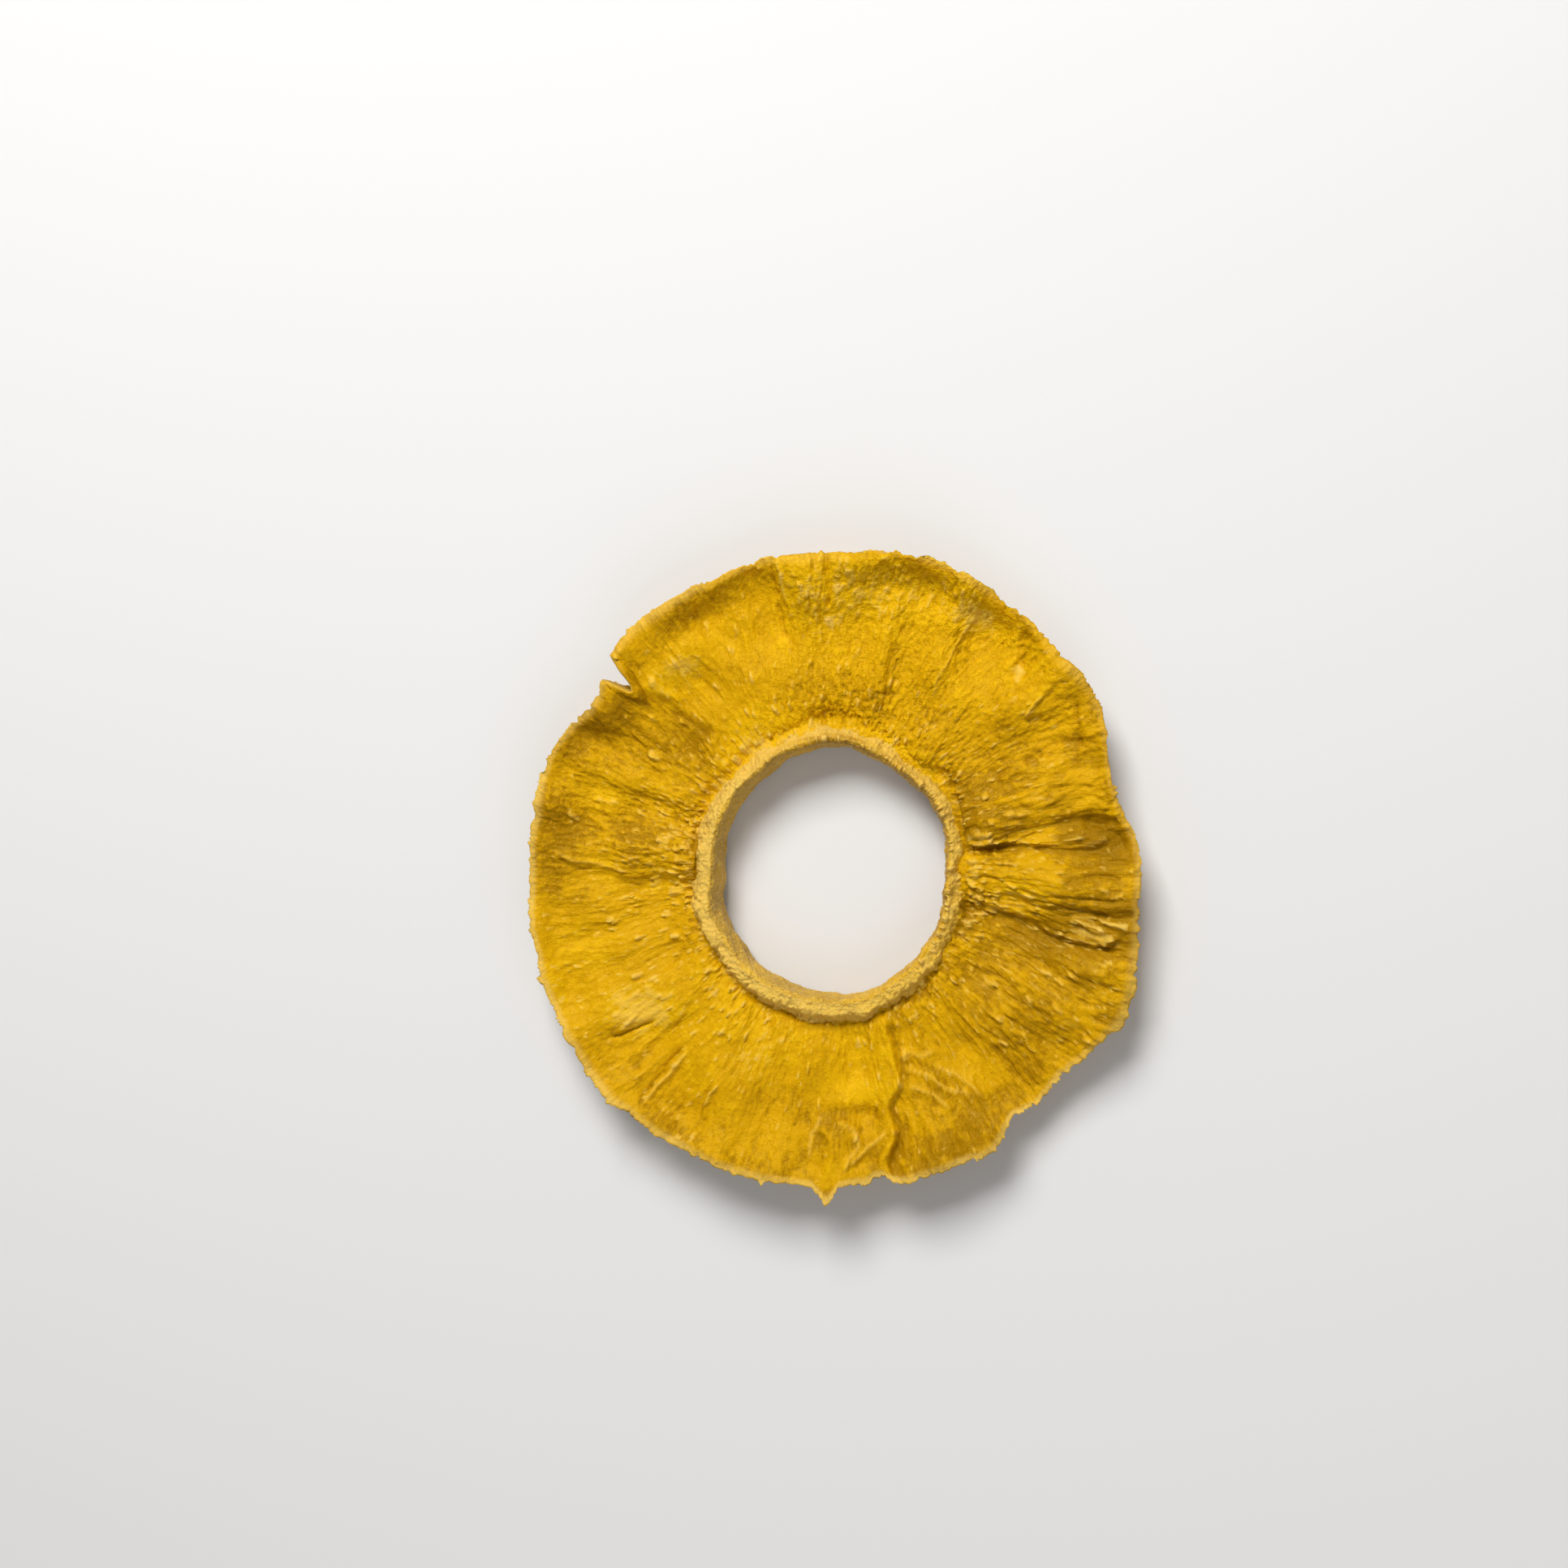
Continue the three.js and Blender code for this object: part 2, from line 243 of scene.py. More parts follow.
def upper_relief(angle, x, y, share):
    pocket = bump(x - SWELLING["x"], SWELLING["long"]) * bump(y - SWELLING["y"], SWELLING["short"])
    pocket = SWELLING["height"] * pocket
    return folds(UPPER_FOLDS, x, y) + pleats(UPPER_PLEATS, angle, share) + pocket


def upper_height(angle, x, y, share, from_collar, from_rim):
    crease = COLLAR["crease"] * bump(from_collar - COLLAR["width"], COLLAR["crease_width"])
    rise = (RIM_TOP - WEB_TOP + lobes(DROOPS, angle)) * share**UPPER_DISH
    trough = TROUGH["depth"] * bump(from_rim - TROUGH["inset"], TROUGH["width"])
    lip = bump(from_rim, CURL_WIDTH) - trough
    rounding = RIM_ROUNDING["drop"] * bump(from_rim, RIM_ROUNDING["width"])
    base = WEB_TOP - crease + rise + lobes(CURLS, angle) * lip - rounding
    return base + between(from_collar, *RELIEF_START) * upper_relief(angle, x, y, share)


# Underside, which meets the floor where a slow wave of the lower edge dips.
FEET = (-0.45, 3, 30)
FOLDS_END = 6


def under_height(angle, x, y, share, from_collar, from_rim):
    fall = (RIM_BOTTOM + waves([FEET], angle) - WEB_BOTTOM) * share**UNDER_DISH
    relief = folds(UNDER_FOLDS, x, y) * (1 - share**FOLDS_END) + pleats(UNDER_PLEATS, angle, share)
    return np.maximum(0, WEB_BOTTOM + fall + between(from_collar, *RELIEF_START) * relief)


# Outer wall: on the left it bellies out almost to the rim, and on the right the rim overhangs it.
# Pairs are for the right side and the left.
OVERHANG_AT = 10
RIM_INSET, FOOT_INSET, BELLY_PLACE = (0.3, 0.7), (2.8, 1.8), (0.42, 0.95)
BELLY_FULLNESS = 0.75
BELLY_OUT = (-1.1, -1.0)
BELLY_BY_CURL = 0.4
EDGE_BLEND = 0.25
CRAG_HEIGHT, CRAGS_FROM = 0.35, (0, 0.4)
CRAG_SETS = [(9, 40, 160), (14, 100, -210)]
WRINKLES = [(0.15, 26, 0, 300), (0.12, 41, 90, 500)]


def by_side(right_and_left, angle):
    return mix(*right_and_left, ((1 - np.cos(np.radians(angle - OVERHANG_AT))) / 2) ** 2)


def rounded(share):
    return (1 - np.cos(np.pi * share)) / 2


def crags(angle, down):
    blocks = CRAG_HEIGHT * wave(angle, down, *CRAG_SETS[0]) * wave(angle, down, *CRAG_SETS[1])
    return blocks + waves(WRINKLES, angle, down)


def face_points(angle, share, inset, down, height_at):
    """Radius and height of a face, the given share of the way from collar to rim."""
    start, end = crest_radius(angle), RIM_RADIUS - by_side(inset, angle)
    shift = outline_shift(angle, down)
    radius = mix(start, end, share) + shift * share**OUTLINE_GROWTH
    x, y = around(radius, angle)
    x = x + HOLE_OFFSET * (1 - share)
    return radius, height_at(angle, x, y, share, radius - start, end + shift - radius)


def upper_points(angle, share):
    return face_points(angle, share, RIM_INSET, 0, upper_height)


def under_points(angle, share):
    return face_points(angle, share, FOOT_INSET, 1, under_height)


def wall_points(angle, down):
    rim_radius, rim_height = upper_points(angle, np.ones((1, 1)))
    foot_radius, foot_height = under_points(angle, np.ones((1, 1)))
    belly = np.sin(np.pi * down ** by_side(BELLY_PLACE, angle))
    rim_inset, foot_inset = by_side(RIM_INSET, angle), by_side(FOOT_INSET, angle)
    inset = np.where(down < 0.5, rim_inset, foot_inset)
    belly_out = by_side(BELLY_OUT, angle) + BELLY_BY_CURL * lobes(CURLS, angle)
    widest = mix(rim_radius + rim_inset, foot_radius + foot_inset, down) + belly_out * belly
    bellied = widest - inset * (1 - np.maximum(0, belly) ** BELLY_FULLNESS)
    straight = mix(rim_radius, foot_radius, down)
    away = between(np.minimum(down, 1 - down), 0, EDGE_BLEND)
    craggy = crags(angle, down) * belly * between(down, *CRAGS_FROM)
    return mix(straight, bellied, away) + craggy, mix(rim_height, foot_height, rounded(down))


def middle_points(angle, share, depth):
    """Places inside the slice, a share of the way down from its upper face to the one below."""
    radius, top = upper_points(angle, share)
    return radius, mix(top, under_points(angle, share)[1], depth)


def section(angle, *parts):
    """The skin's grid from the parts of its section, each a share from collar to rim and points."""
    skin = []
    for share, (radius, height) in parts:
        radius, height, share = np.broadcast_arrays(radius, height, share)
        x, y = around(radius, angle)
        skin.append(np.stack([x + HOLE_OFFSET * (1 - share), y, height], -1))
    return np.concatenate(skin, 1)


def round_about(columns):
    return (np.arange(columns) * 360 / columns)[:, None]


def facing(points):
    """Outward normals of the skin's grid, which closes both ways."""
    round_ring = np.roll(points, -1, 0) - np.roll(points, 1, 0)
    along_section = np.roll(points, -1, 1) - np.roll(points, 1, 1)
    normal = np.cross(along_section, round_ring)
    return normal / (np.linalg.norm(normal, axis=-1, keepdims=True) + 1e-9)


CROWDING = 0.3


def crowded(gone):
    """The way gone over a face, with its lines closer together at its two ends."""
    return gone - CROWDING * np.sin(2 * np.pi * gone) / (2 * np.pi)


def as_rows(*lists):
    return (np.array(values)[None, :] for values in lists)


WEB_START = 0.02
LIP_DEPTH, LIP_SHOWN, LIP_SUNK = 0.38, 0.26, 0.9  # the lip: how far down the wall, and into it
EDGE_THICKNESS, EDGE_TURN = 0.45, 0.06
BACK_SHARES = [0.86, 0.82, 0.76, 0.66, 0.5, 0.3, 0.1, 0.06]  # the back, on its way to the collar
BACK_DEPTHS = [0.45, 0.47, 0.5, 0.5, 0.5, 0.5, 0.5, 0.45]

angle = round_about(WEB["columns"])
face, lip = slice(0, WEB["face"]), slice(WEB["face"], WEB["face"] + WEB["lip"])
face_share = mix(WEB_START, 1, crowded(np.linspace(0, 1, WEB["face"])[None, :]))
back_share, back_depth = as_rows(BACK_SHARES, BACK_DEPTHS)
lip_down = np.linspace(0, LIP_DEPTH, WEB["lip"] + 1)[None, 1:]
lip_radius, lip_height = wall_points(angle, lip_down)
lip_radius = lip_radius - LIP_SUNK * between(lip_down, LIP_SHOWN, LIP_DEPTH)
lip_height = lip_height - EDGE_THICKNESS * between(lip_down, 0, EDGE_TURN)
skin = section(
    angle,
    (face_share, upper_points(angle, face_share)),
    (np.ones_like(lip_down), (lip_radius, lip_height)),
    (back_share, middle_points(angle, back_share, back_depth)),
)
normal = facing(skin)
normal[:, face][:, -2:] = normal[:, face][:, -3:-2]  # at the sharp edge, as just inside it
x, y, z = (skin[:, face, i] for i in range(3))
radius = np.hypot(x, y)
from_crest = upper_points(angle, face_share)[0] - crest_radius(angle)
WEB_SHOWS = (0.8, 2.4)  # how far out from the collar's crest the web comes out from under it
off_collar = between(from_crest, *WEB_SHOWS)

# Fibres run out from the hole, slanted in places, and bend on their way. Near the lower edge
# they sweep round the swelling instead.
FIBRE_SLANTS = [(22, -13, 16)]
FIBRE_BENDS = [(15, 7.0), (5, 4.0), (2.6, 4.0)]  # (size of a bend, by degrees)
WAVERING = [(8, 1.6), (3, 0.6)]  # (size of a bend, by degrees round the ring)
SWIRL = {"x": 3.2, "y": -32.8, "size": 4.6, "turn": 38}
FIBROUS = [
    (355, 0.2, 36), (180, -0.15, 30), (212, -0.25, 22), (312, 0.3, 32), (75, -0.25, 36),
    (240, -0.15, 20), (278, -0.4, 24),
]


def bending(bends, x, y):
    return sum(by * noise(x / size, y / size, 0 * x + size) for size, by in bends)


def fibre_way(x, y):
    """The heading of the fibres at a place, in degrees."""
    angle = np.degrees(np.arctan2(y, x))
    swirl = SWIRL["turn"] * bump(np.hypot(x - SWIRL["x"], y - SWIRL["y"]), SWIRL["size"])
    swirl = swirl * (y - SWIRL["y"]) / SWIRL["size"]
    return angle + lobes(FIBRE_SLANTS, angle) + swirl + bending(FIBRE_BENDS, x, y)


def fibre_line(x, y):
    """A turn, in radians, that stays the same along a fibre."""
    angle = np.degrees(np.arctan2(y, x))
    slanted = lobes(FIBRE_SLANTS, angle) * np.log(np.hypot(x, y) / HOLE_RADIUS)
    return np.radians(angle - slanted + bending(WAVERING, x, y))


line = fibre_line(x, y)


def fibres(count, length, offset):
    """Noise stretched along the fibres of line and radius: about six times count in a turn."""
    return noise(np.cos(line) * count + 50, np.sin(line) * count + 50, radius / length + offset)


PUFF_TOP, PUFF_MEAN = 0.6, 0.45


def puffed(value):
    """Rounded lumps or strands with a narrow crease between each and the next."""
    return 2 * np.minimum(np.abs(value), PUFF_TOP) - PUFF_MEAN


# Strands lie on the web one against another, each a rounded ridge that rises to its tip:
# (how many, half-length, half-width, height, by how far it turns from the fibres' way).
STRANDS = [
    (600, 3.8, 0.7, 0.22, 7), (1800, 1.9, 0.36, 0.15, 9), (2600, 2.6, 0.2, 0.1, 8),
    (4000, 0.8, 0.2, 0.06, 14),
]
STRAND_LEAN = 0.5  # how far the crest lies towards -Y, the way that the knife went
NARROWER = 0.3  # how much narrower a strand is at its tip than at its middle
MIDDLE_TALL, TALLER = 0.7, 0.3  # share of its height at its middle, and how much more at its tip
# A strand is pale towards its tip, and along its crest it gets a pale painted highlight.
TIP_SHOWS, CREST_HIGHLIGHT_SHOWS, CREST_HIGHLIGHT = (0, 0.8), (0.6, 1.1), 0.7


def laid(items, rise, pale_tips_and_highlights):
    """Lay items on the web's face: (x, y, half-length, half-width, height, foot, heading, bend, tip)."""
    turn = 2 * np.pi / WEB["columns"]
    for at_x, at_y, long, wide, tall, foot, heading, bend, tip in items:
        at, out = np.arctan2(at_y, at_x), np.hypot(at_x, at_y)
        sideways, outward = np.abs(np.sin(heading - at)), np.abs(np.cos(heading - at))
        reach = int(1.3 * (long * sideways + wide * outward + 0.2) / out / turn) + 2
        columns = (int(round(at / turn)) + np.arange(-reach, reach + 1)) % WEB["columns"]
        reach = long * outward + wide * sideways + 0.3
        start = crest_radius(np.degrees(at))
        ends = (np.array([out - reach, out + reach]) - start) / (RIM_RADIUS - start)
        rows = slice(*np.searchsorted(face_share[0], ends))
        off_x, off_y = x[columns, rows] - at_x, y[columns, rows] - at_y
        along = off_x * np.cos(heading) + off_y * np.sin(heading)
        across = off_y * np.cos(heading) - off_x * np.sin(heading) - bend * along**2
        gone = along / long
        half = wide * np.sqrt(np.maximum(0, 1 - gone**2)) * (1 - NARROWER * gone) + 1e-6
        side = across / half
        crest = (1 - side**2) * (1 - STRAND_LEAN * np.cos(heading) * side)
        top = foot + tall * (MIDDLE_TALL + TALLER * gone) * crest
        top = np.where(np.abs(side) < 1, top, -1)
        won = top > rise[columns, rows]
        # Pale towards the tip, and a painted highlight along the crest.
        shown = np.maximum(between(gone, *TIP_SHOWS), CREST_HIGHLIGHT * between(crest, *CREST_HIGHLIGHT_SHOWS))
        pale_tips_and_highlights[columns, rows] = np.where(won, tip * shown, pale_tips_and_highlights[columns, rows])
        rise[columns, rows] = np.maximum(rise[columns, rows], top)


# How much the strands vary, and how much a set leaves of what the coarser ones before it gave.
STRAND_SEED = 31
STRENGTH, FIBROUS_STRENGTH = 0.55, 0.75
VARIED = {"length": 0.35, "width": 0.25, "bend": 0.15}
HEIGHTS, LIFTED = (0.5, 1.3), (0, 0.7)
PALEST = 1.4  # by strength, and held to 1
LEFT_PALE, LEFT_RAISED = 0.6, 0.5
draw = np.random.default_rng(STRAND_SEED)
rise_of_strands, pale_tips_and_highlights = np.zeros(x.shape), np.zeros(x.shape)
fine_rise = 0
for number, long, wide, tall, wander in STRANDS:
    at = draw.uniform(0, 360, number)
    out = np.sqrt(draw.uniform((HOLE_RADIUS + 2) ** 2, (RIM_RADIUS + 1) ** 2, number))
    at_x, at_y = around(out, at)
    strength = STRENGTH + FIBROUS_STRENGTH * lobes(FIBROUS, at)
    heading = fibre_way(at_x, at_y) + draw.normal(0, wander, number)
    length = long * draw.lognormal(0, VARIED["length"], number)
    height = tall * strength * draw.uniform(*HEIGHTS, number)
    width = wide * draw.lognormal(0, VARIED["width"], number)
    foot = draw.uniform(*LIFTED, number) * height
    bend = draw.normal(0, VARIED["bend"], number) / length
    tip = draw.uniform(0, 1, number) ** 2 * np.minimum(1, PALEST * strength)
    rise, pale_tips_and_highlights = np.zeros(x.shape), LEFT_PALE * pale_tips_and_highlights
    laid(zip(at_x, at_y, length, width, height, foot, np.radians(heading), bend, tip), rise, pale_tips_and_highlights)
    rise_of_strands = rise_of_strands + rise - rise.mean()
    fine_rise = LEFT_RAISED * fine_rise + rise - rise.mean()

# Under the strands the flesh swells and is pleated: (size of a swell, height, where in the noise)
# and (how many pleats, how long, where in the noise).
SWELLS = [(11, 1.4, 8.3), (6, 0.8, 3.7)]
BROAD, COARSE, MIDDLING, FINE = (5, 14, 9.1), (9, 12, 1.3), (15, 8, 7.7), (31, 4, 3.1)
BROAD_TALL, COARSE_TALL, MIDDLING_TALL = 0.8, 0.35, 0.25
PLEATED_FROM = (17, 27)  # they grow from the first of these radii to the second
swells = sum(tall * noise(x / size, y / size, 0 * x + spot) for size, tall, spot in SWELLS)
swells = swells + BROAD_TALL * fibres(*BROAD)
pleated = MIDDLING_TALL * puffed(fibres(*MIDDLING)) * (0.5 + lobes(FIBROUS, angle))
pleated = COARSE_TALL * fibres(*COARSE) + pleated

# The flesh is crumbly, most of all at the top and by the collar, where the strands are weaker.
CRUMBLY = [(72, 1.1, 38), (250, 0.2, 40), (166, 0.7, 16)]
CRUMBLY_BY_COLLAR = [(352, 0.16, 38)]
BY_COLLAR = (2, 9)  # it ends between these distances from the crest
LARGE, SMALL = (1.6, 0.6, 9), (0.75, 0.45, 19)  # the crumbs, as crumbled takes them
LARGE_TALL, TALLER_BY_COLLAR, WEAKER_BY_COLLAR = 0.1, 0.5, 0.35


def crumbled(x, y, z, size, fine_size, shift):
    """Rounded crumbs of a size, with smaller ones on them."""
    fine = noise(x / fine_size, y / fine_size + 31, z / fine_size)
    return puffed(noise(x / size + shift, y / size, z / size)) + 0.5 * fine


near_collar = 1 - between(from_crest, *BY_COLLAR)
rough = 0.03 + 0.2 * lobes(CRUMBLY, angle) + (0.07 + lobes(CRUMBLY_BY_COLLAR, angle)) * near_collar
crumb_rise = LARGE_TALL * (1 + TALLER_BY_COLLAR * near_collar) * crumbled(x, y, z, *LARGE)
crumb_rise = crumb_rise + rough * crumbled(x, y, z, *SMALL)
weaker = 1 - WEAKER_BY_COLLAR * near_collar
rise_of_strands, fine_rise = weaker * rise_of_strands, weaker * fine_rise
web_relief = swells + between(radius, *PLEATED_FROM) * pleated + rise_of_strands + crumb_rise

# Lines drawn in the flesh: ridges and grooves, by the places they go through, the half-width and
# the height; and steps, past which the flesh to the right is lower: the drop, and how far it lasts.
# All of them meander a little.
RIGHT_LINES = [
    ([(17.5, 4.5), (22.3, 4.3), (29.5, 4.1)], 0.9, 0.45),
    ([(31.1, 6.6), (33.4, 5.8), (35.4, 4.3), (37, 3.4)], 0.9, -0.9),
    ([(34.6, 8.5), (36.6, 6.6), (38.4, 4.6)], 0.8, 0.6),
    ([(26.2, -4), (29.2, -3.8), (32.7, -4.5), (36.2, -5.4), (38.9, -5.6)], 0.5, -0.7),
    ([(28.6, -7.2), (30.3, -7.7), (32.7, -8.1), (34.2, -8.0), (35.3, -7.3)], 0.3, 0.45),
    ([(30.3, -5.3), (31.5, -5.9), (33, -6.6), (34.6, -6.7)], 0.22, 0.35),
    ([(33.5, -5.4), (35.1, -5.8), (36.8, -6.3)], 0.3, 0.35),
    ([(30.0, -6.1), (31.6, -6.8), (33.4, -7.3), (35.2, -6.9)], 0.25, -0.5),
    ([(29.5, 0.4), (32, 0.9), (34.7, 1.5), (38, 1.2)], 0.35, -0.4),
    ([(28.6, -1.2), (31.5, -0.6), (34.2, -0.5), (36.3, -1)], 0.3, -0.5),
    ([(26.5, -2.6), (30, -2.3), (33.5, -2.9), (37, -3.5)], 0.3, -0.35),
    ([(20.7, 8.8), (25.4, 9.3)], 0.5, 0.4),
    ([(23.7, 13.4), (28.3, 15.7), (31.9, 16)], 0.9, -0.6),
]
TOP_LINES = [
    ([(18.8, 31.2), (16.5, 28), (13.9, 24.4), (12.8, 20.9)], 0.25, 0.25),
    ([(24.4, 19.1), (25.8, 20.9), (26.8, 22.1)], 0.2, 0.5),
    ([(24.6, 18.8), (26.6, 18.9)], 0.5, -0.6),
    ([(30.7, 20.9), (30.7, 14.8)], 0.3, -0.5),
    ([(0.2, 39.7), (0.4, 36), (0.2, 32.5)], 0.25, -0.7),
    ([(-6.7, 33.1), (-6.2, 30), (-4.5, 27.2), (-2.9, 26.5)], 0.3, -0.3),
    ([(-5.9, 39.1), (-5.6, 36.7), (-5.2, 33.1)], 0.3, 0.35),
    ([(-6.7, 38.8), (-6.7, 33.1)], 0.3, -0.5),
]
LEFT_LINES = [
    ([(-23.1, 24.2), (-18.9, 20.8)], 0.6, 0.4),
    ([(-24, 22.5), (-19.5, 19.5), (-14.5, 16.5)], 1.0, -0.6),
    ([(-35.5, 2.2), (-32.7, 0.9), (-30.1, 0.6), (-25.7, -0.5)], 0.35, 0.3),
    ([(-35, 1.3), (-32.5, -0.1), (-30, -0.4)], 0.3, -0.25),
    ([(-28.1, -21.4), (-26.5, -21.2), (-25.1, -20.3), (-22.3, -19.1)], 0.2, -0.9),
    ([(-18.5, -22.1), (-20.1, -24.4), (-21.2, -25.8), (-24.3, -29.4)], 0.3, -0.6),
    ([(-18, -22.5), (-19.6, -24.8), (-20.7, -26.2), (-23.8, -29.8)], 0.35, 0.5),
    ([(-13.7, -26.5), (-14.8, -27.8), (-15.7, -29.8)], 0.3, 0.5),
]
BOTTOM_LINES = [
    ([(-7, -17.5), (-4.2, -18.2), (-0.5, -18.4), (2.8, -17.7), (6.6, -17.3), (7.4, -16.8)], 0.3, -0.6),
    ([(7.2, -32.1), (5.3, -34.1), (3.2, -36.6)], 0.35, 0.45),
    ([(8, -31.1), (8.2, -32.9), (7.2, -35.2), (5.8, -37.7)], 0.45, 0.4),
    ([(1, -31), (3.6, -32), (4.2, -34), (2.2, -37.5)], 0.35, 0.35),
    ([(-2, -31.5), (0.3, -33), (0.6, -35.5), (-0.6, -39)], 0.4, 0.35),
    ([(-0.8, -30.3), (-2.2, -33), (-2.6, -36)], 0.35, 0.4),
    ([(9.5, -24.5), (12.5, -25.2), (15, -26.8), (18, -27.5)], 0.3, 0.45),
    ([(10, -26.5), (13, -27.5), (15.5, -28.9)], 0.3, 0.4),
    ([(13, -23.8), (16, -25), (19.2, -27.6)], 0.3, 0.4),
    ([(9.3, -22.2), (11.4, -22.9), (13.5, -22.3)], 0.3, 0.35),
    ([(23.7, -19.3), (24.8, -21.4), (26, -22)], 0.2, 0.35),
    ([(20.2, -20.7), (24.1, -25.7)], 0.8, -0.5),
    ([(32.8, -17.1), (37, -18.2)], 0.4, -0.5),
    ([(31.1, -21.4), (33, -21.6)], 0.35, -0.4),
]
SWEPT_LINE = [
    (17, -3.2), (21, -4.9), (24.1, -6), (27.1, -7.3), (29.5, -8.2), (32.7, -8.8), (35.6, -8), (37, -7),
]
SPLIT_LINE = [
    (9.2, -39), (8.3, -37.3), (7.6, -36.1), (8.3, -33.9), (8.8, -32), (7.7, -30.5), (7.6, -29.3),
    (8.4, -27.5), (9.3, -26.1), (8.6, -23.6), (7.7, -20.4), (7.3, -17.2),
]
STEPS = [
    ([(18, 3.5), (20.6, 3.7), (23, 3.3), (27.1, 2.7), (30, 2.6), (32.7, 2.9), (35.1, 3.8)], 0.6, 2.6),
    (SWEPT_LINE, 0.65, 3),
    (SPLIT_LINE, 1.0, 6),
    ([(22.3, 23.5), (23.3, 25.5), (23.5, 28), (24.8, 29.4)], 0.7, 2.5),
    ([(-1.2, -29.8), (0.9, -29.3), (3.2, -29.4), (6.7, -29.6)], 0.5, 3),
]
STEP_WIDTH = 0.35
STEP_PAINTED_LIGHT, STEP_PAINTED_SHADOW = 0.4, 0.5  # how far painted light reaches above a step, and painted shadow below it
LINE_ENDS = 0.15
MEANDERS = [(2.2, 0.25), (0.8, 0.13)]  # (size of a bend, by)
MEANDER_SPOTS = (5.5, 9.5)  # where in the noise, for along X and along Y
NARROW = 0.4  # half-width under which a ridge's crest gets a pale painted highlight


def from_line(points):
    """Distance of every place from a bent line, past its right side positive, faded at its ends."""
    points = np.array(points, float)
    lengths = np.hypot(*np.diff(points, axis=0).T)
    ways = [
        sum(by * noise(x / size + spot, y / size, 0 * x + spot) for size, by in MEANDERS)
        for spot in MEANDER_SPOTS
    ]
    nearest, gone = np.full(x.shape, np.inf), np.zeros(x.shape)
    side = np.zeros(x.shape)
    for i, length in enumerate(lengths):
        run = (points[i + 1] - points[i]) / length
        away_x, away_y = x + ways[0] - points[i][0], y + ways[1] - points[i][1]
        along = np.clip(away_x * run[0] + away_y * run[1], 0, length)
        away_x, away_y = away_x - along * run[0], away_y - along * run[1]
        distance = np.hypot(away_x, away_y)
        nearer = distance < nearest
        nearest = np.where(nearer, distance, nearest)
        side = np.where(nearer, np.sign(away_x * run[1] - away_y * run[0]), side)
        gone = np.where(nearer, (lengths[:i].sum() + along) / lengths.sum(), gone)
    ends = between(gone, 0, LINE_ENDS) * (1 - between(gone, 1 - LINE_ENDS, 1))
    return nearest * side, ends


# A groove is sharp at its bottom, and a ridge is rounded. A narrow ridge gets a pale crest, a
# painted highlight.
drawn_relief, crest_highlight = np.zeros(x.shape), np.zeros(x.shape)
for points, width, height in RIGHT_LINES + TOP_LINES + LEFT_LINES + BOTTOM_LINES:
    distance, ends = from_line(points)
    profile = np.exp(-np.abs(distance) / width) if height < 0 else bump(distance, width)
    drawn_relief += height * profile * ends
    if width < NARROW:
        crest_highlight = np.maximum(crest_highlight, height * bump(distance, width / 2) * ends)
stepped, step_light_and_shadow = np.zeros(x.shape), np.zeros(x.shape)
for points, drop, lasting in STEPS:
    distance, ends = from_line(points)
    past = between(distance, -STEP_WIDTH, STEP_WIDTH) * (1 - between(distance, STEP_WIDTH, lasting))
    stepped -= drop * past * ends
    # Painted light just above each step, and painted shadow just below it, where the flesh drops.
    painted_light_and_shadow = 0.5 * bump(distance + STEP_PAINTED_LIGHT, STEP_PAINTED_LIGHT) - bump(distance - STEP_PAINTED_SHADOW, STEP_PAINTED_SHADOW)
    step_light_and_shadow += drop * painted_light_and_shadow * ends

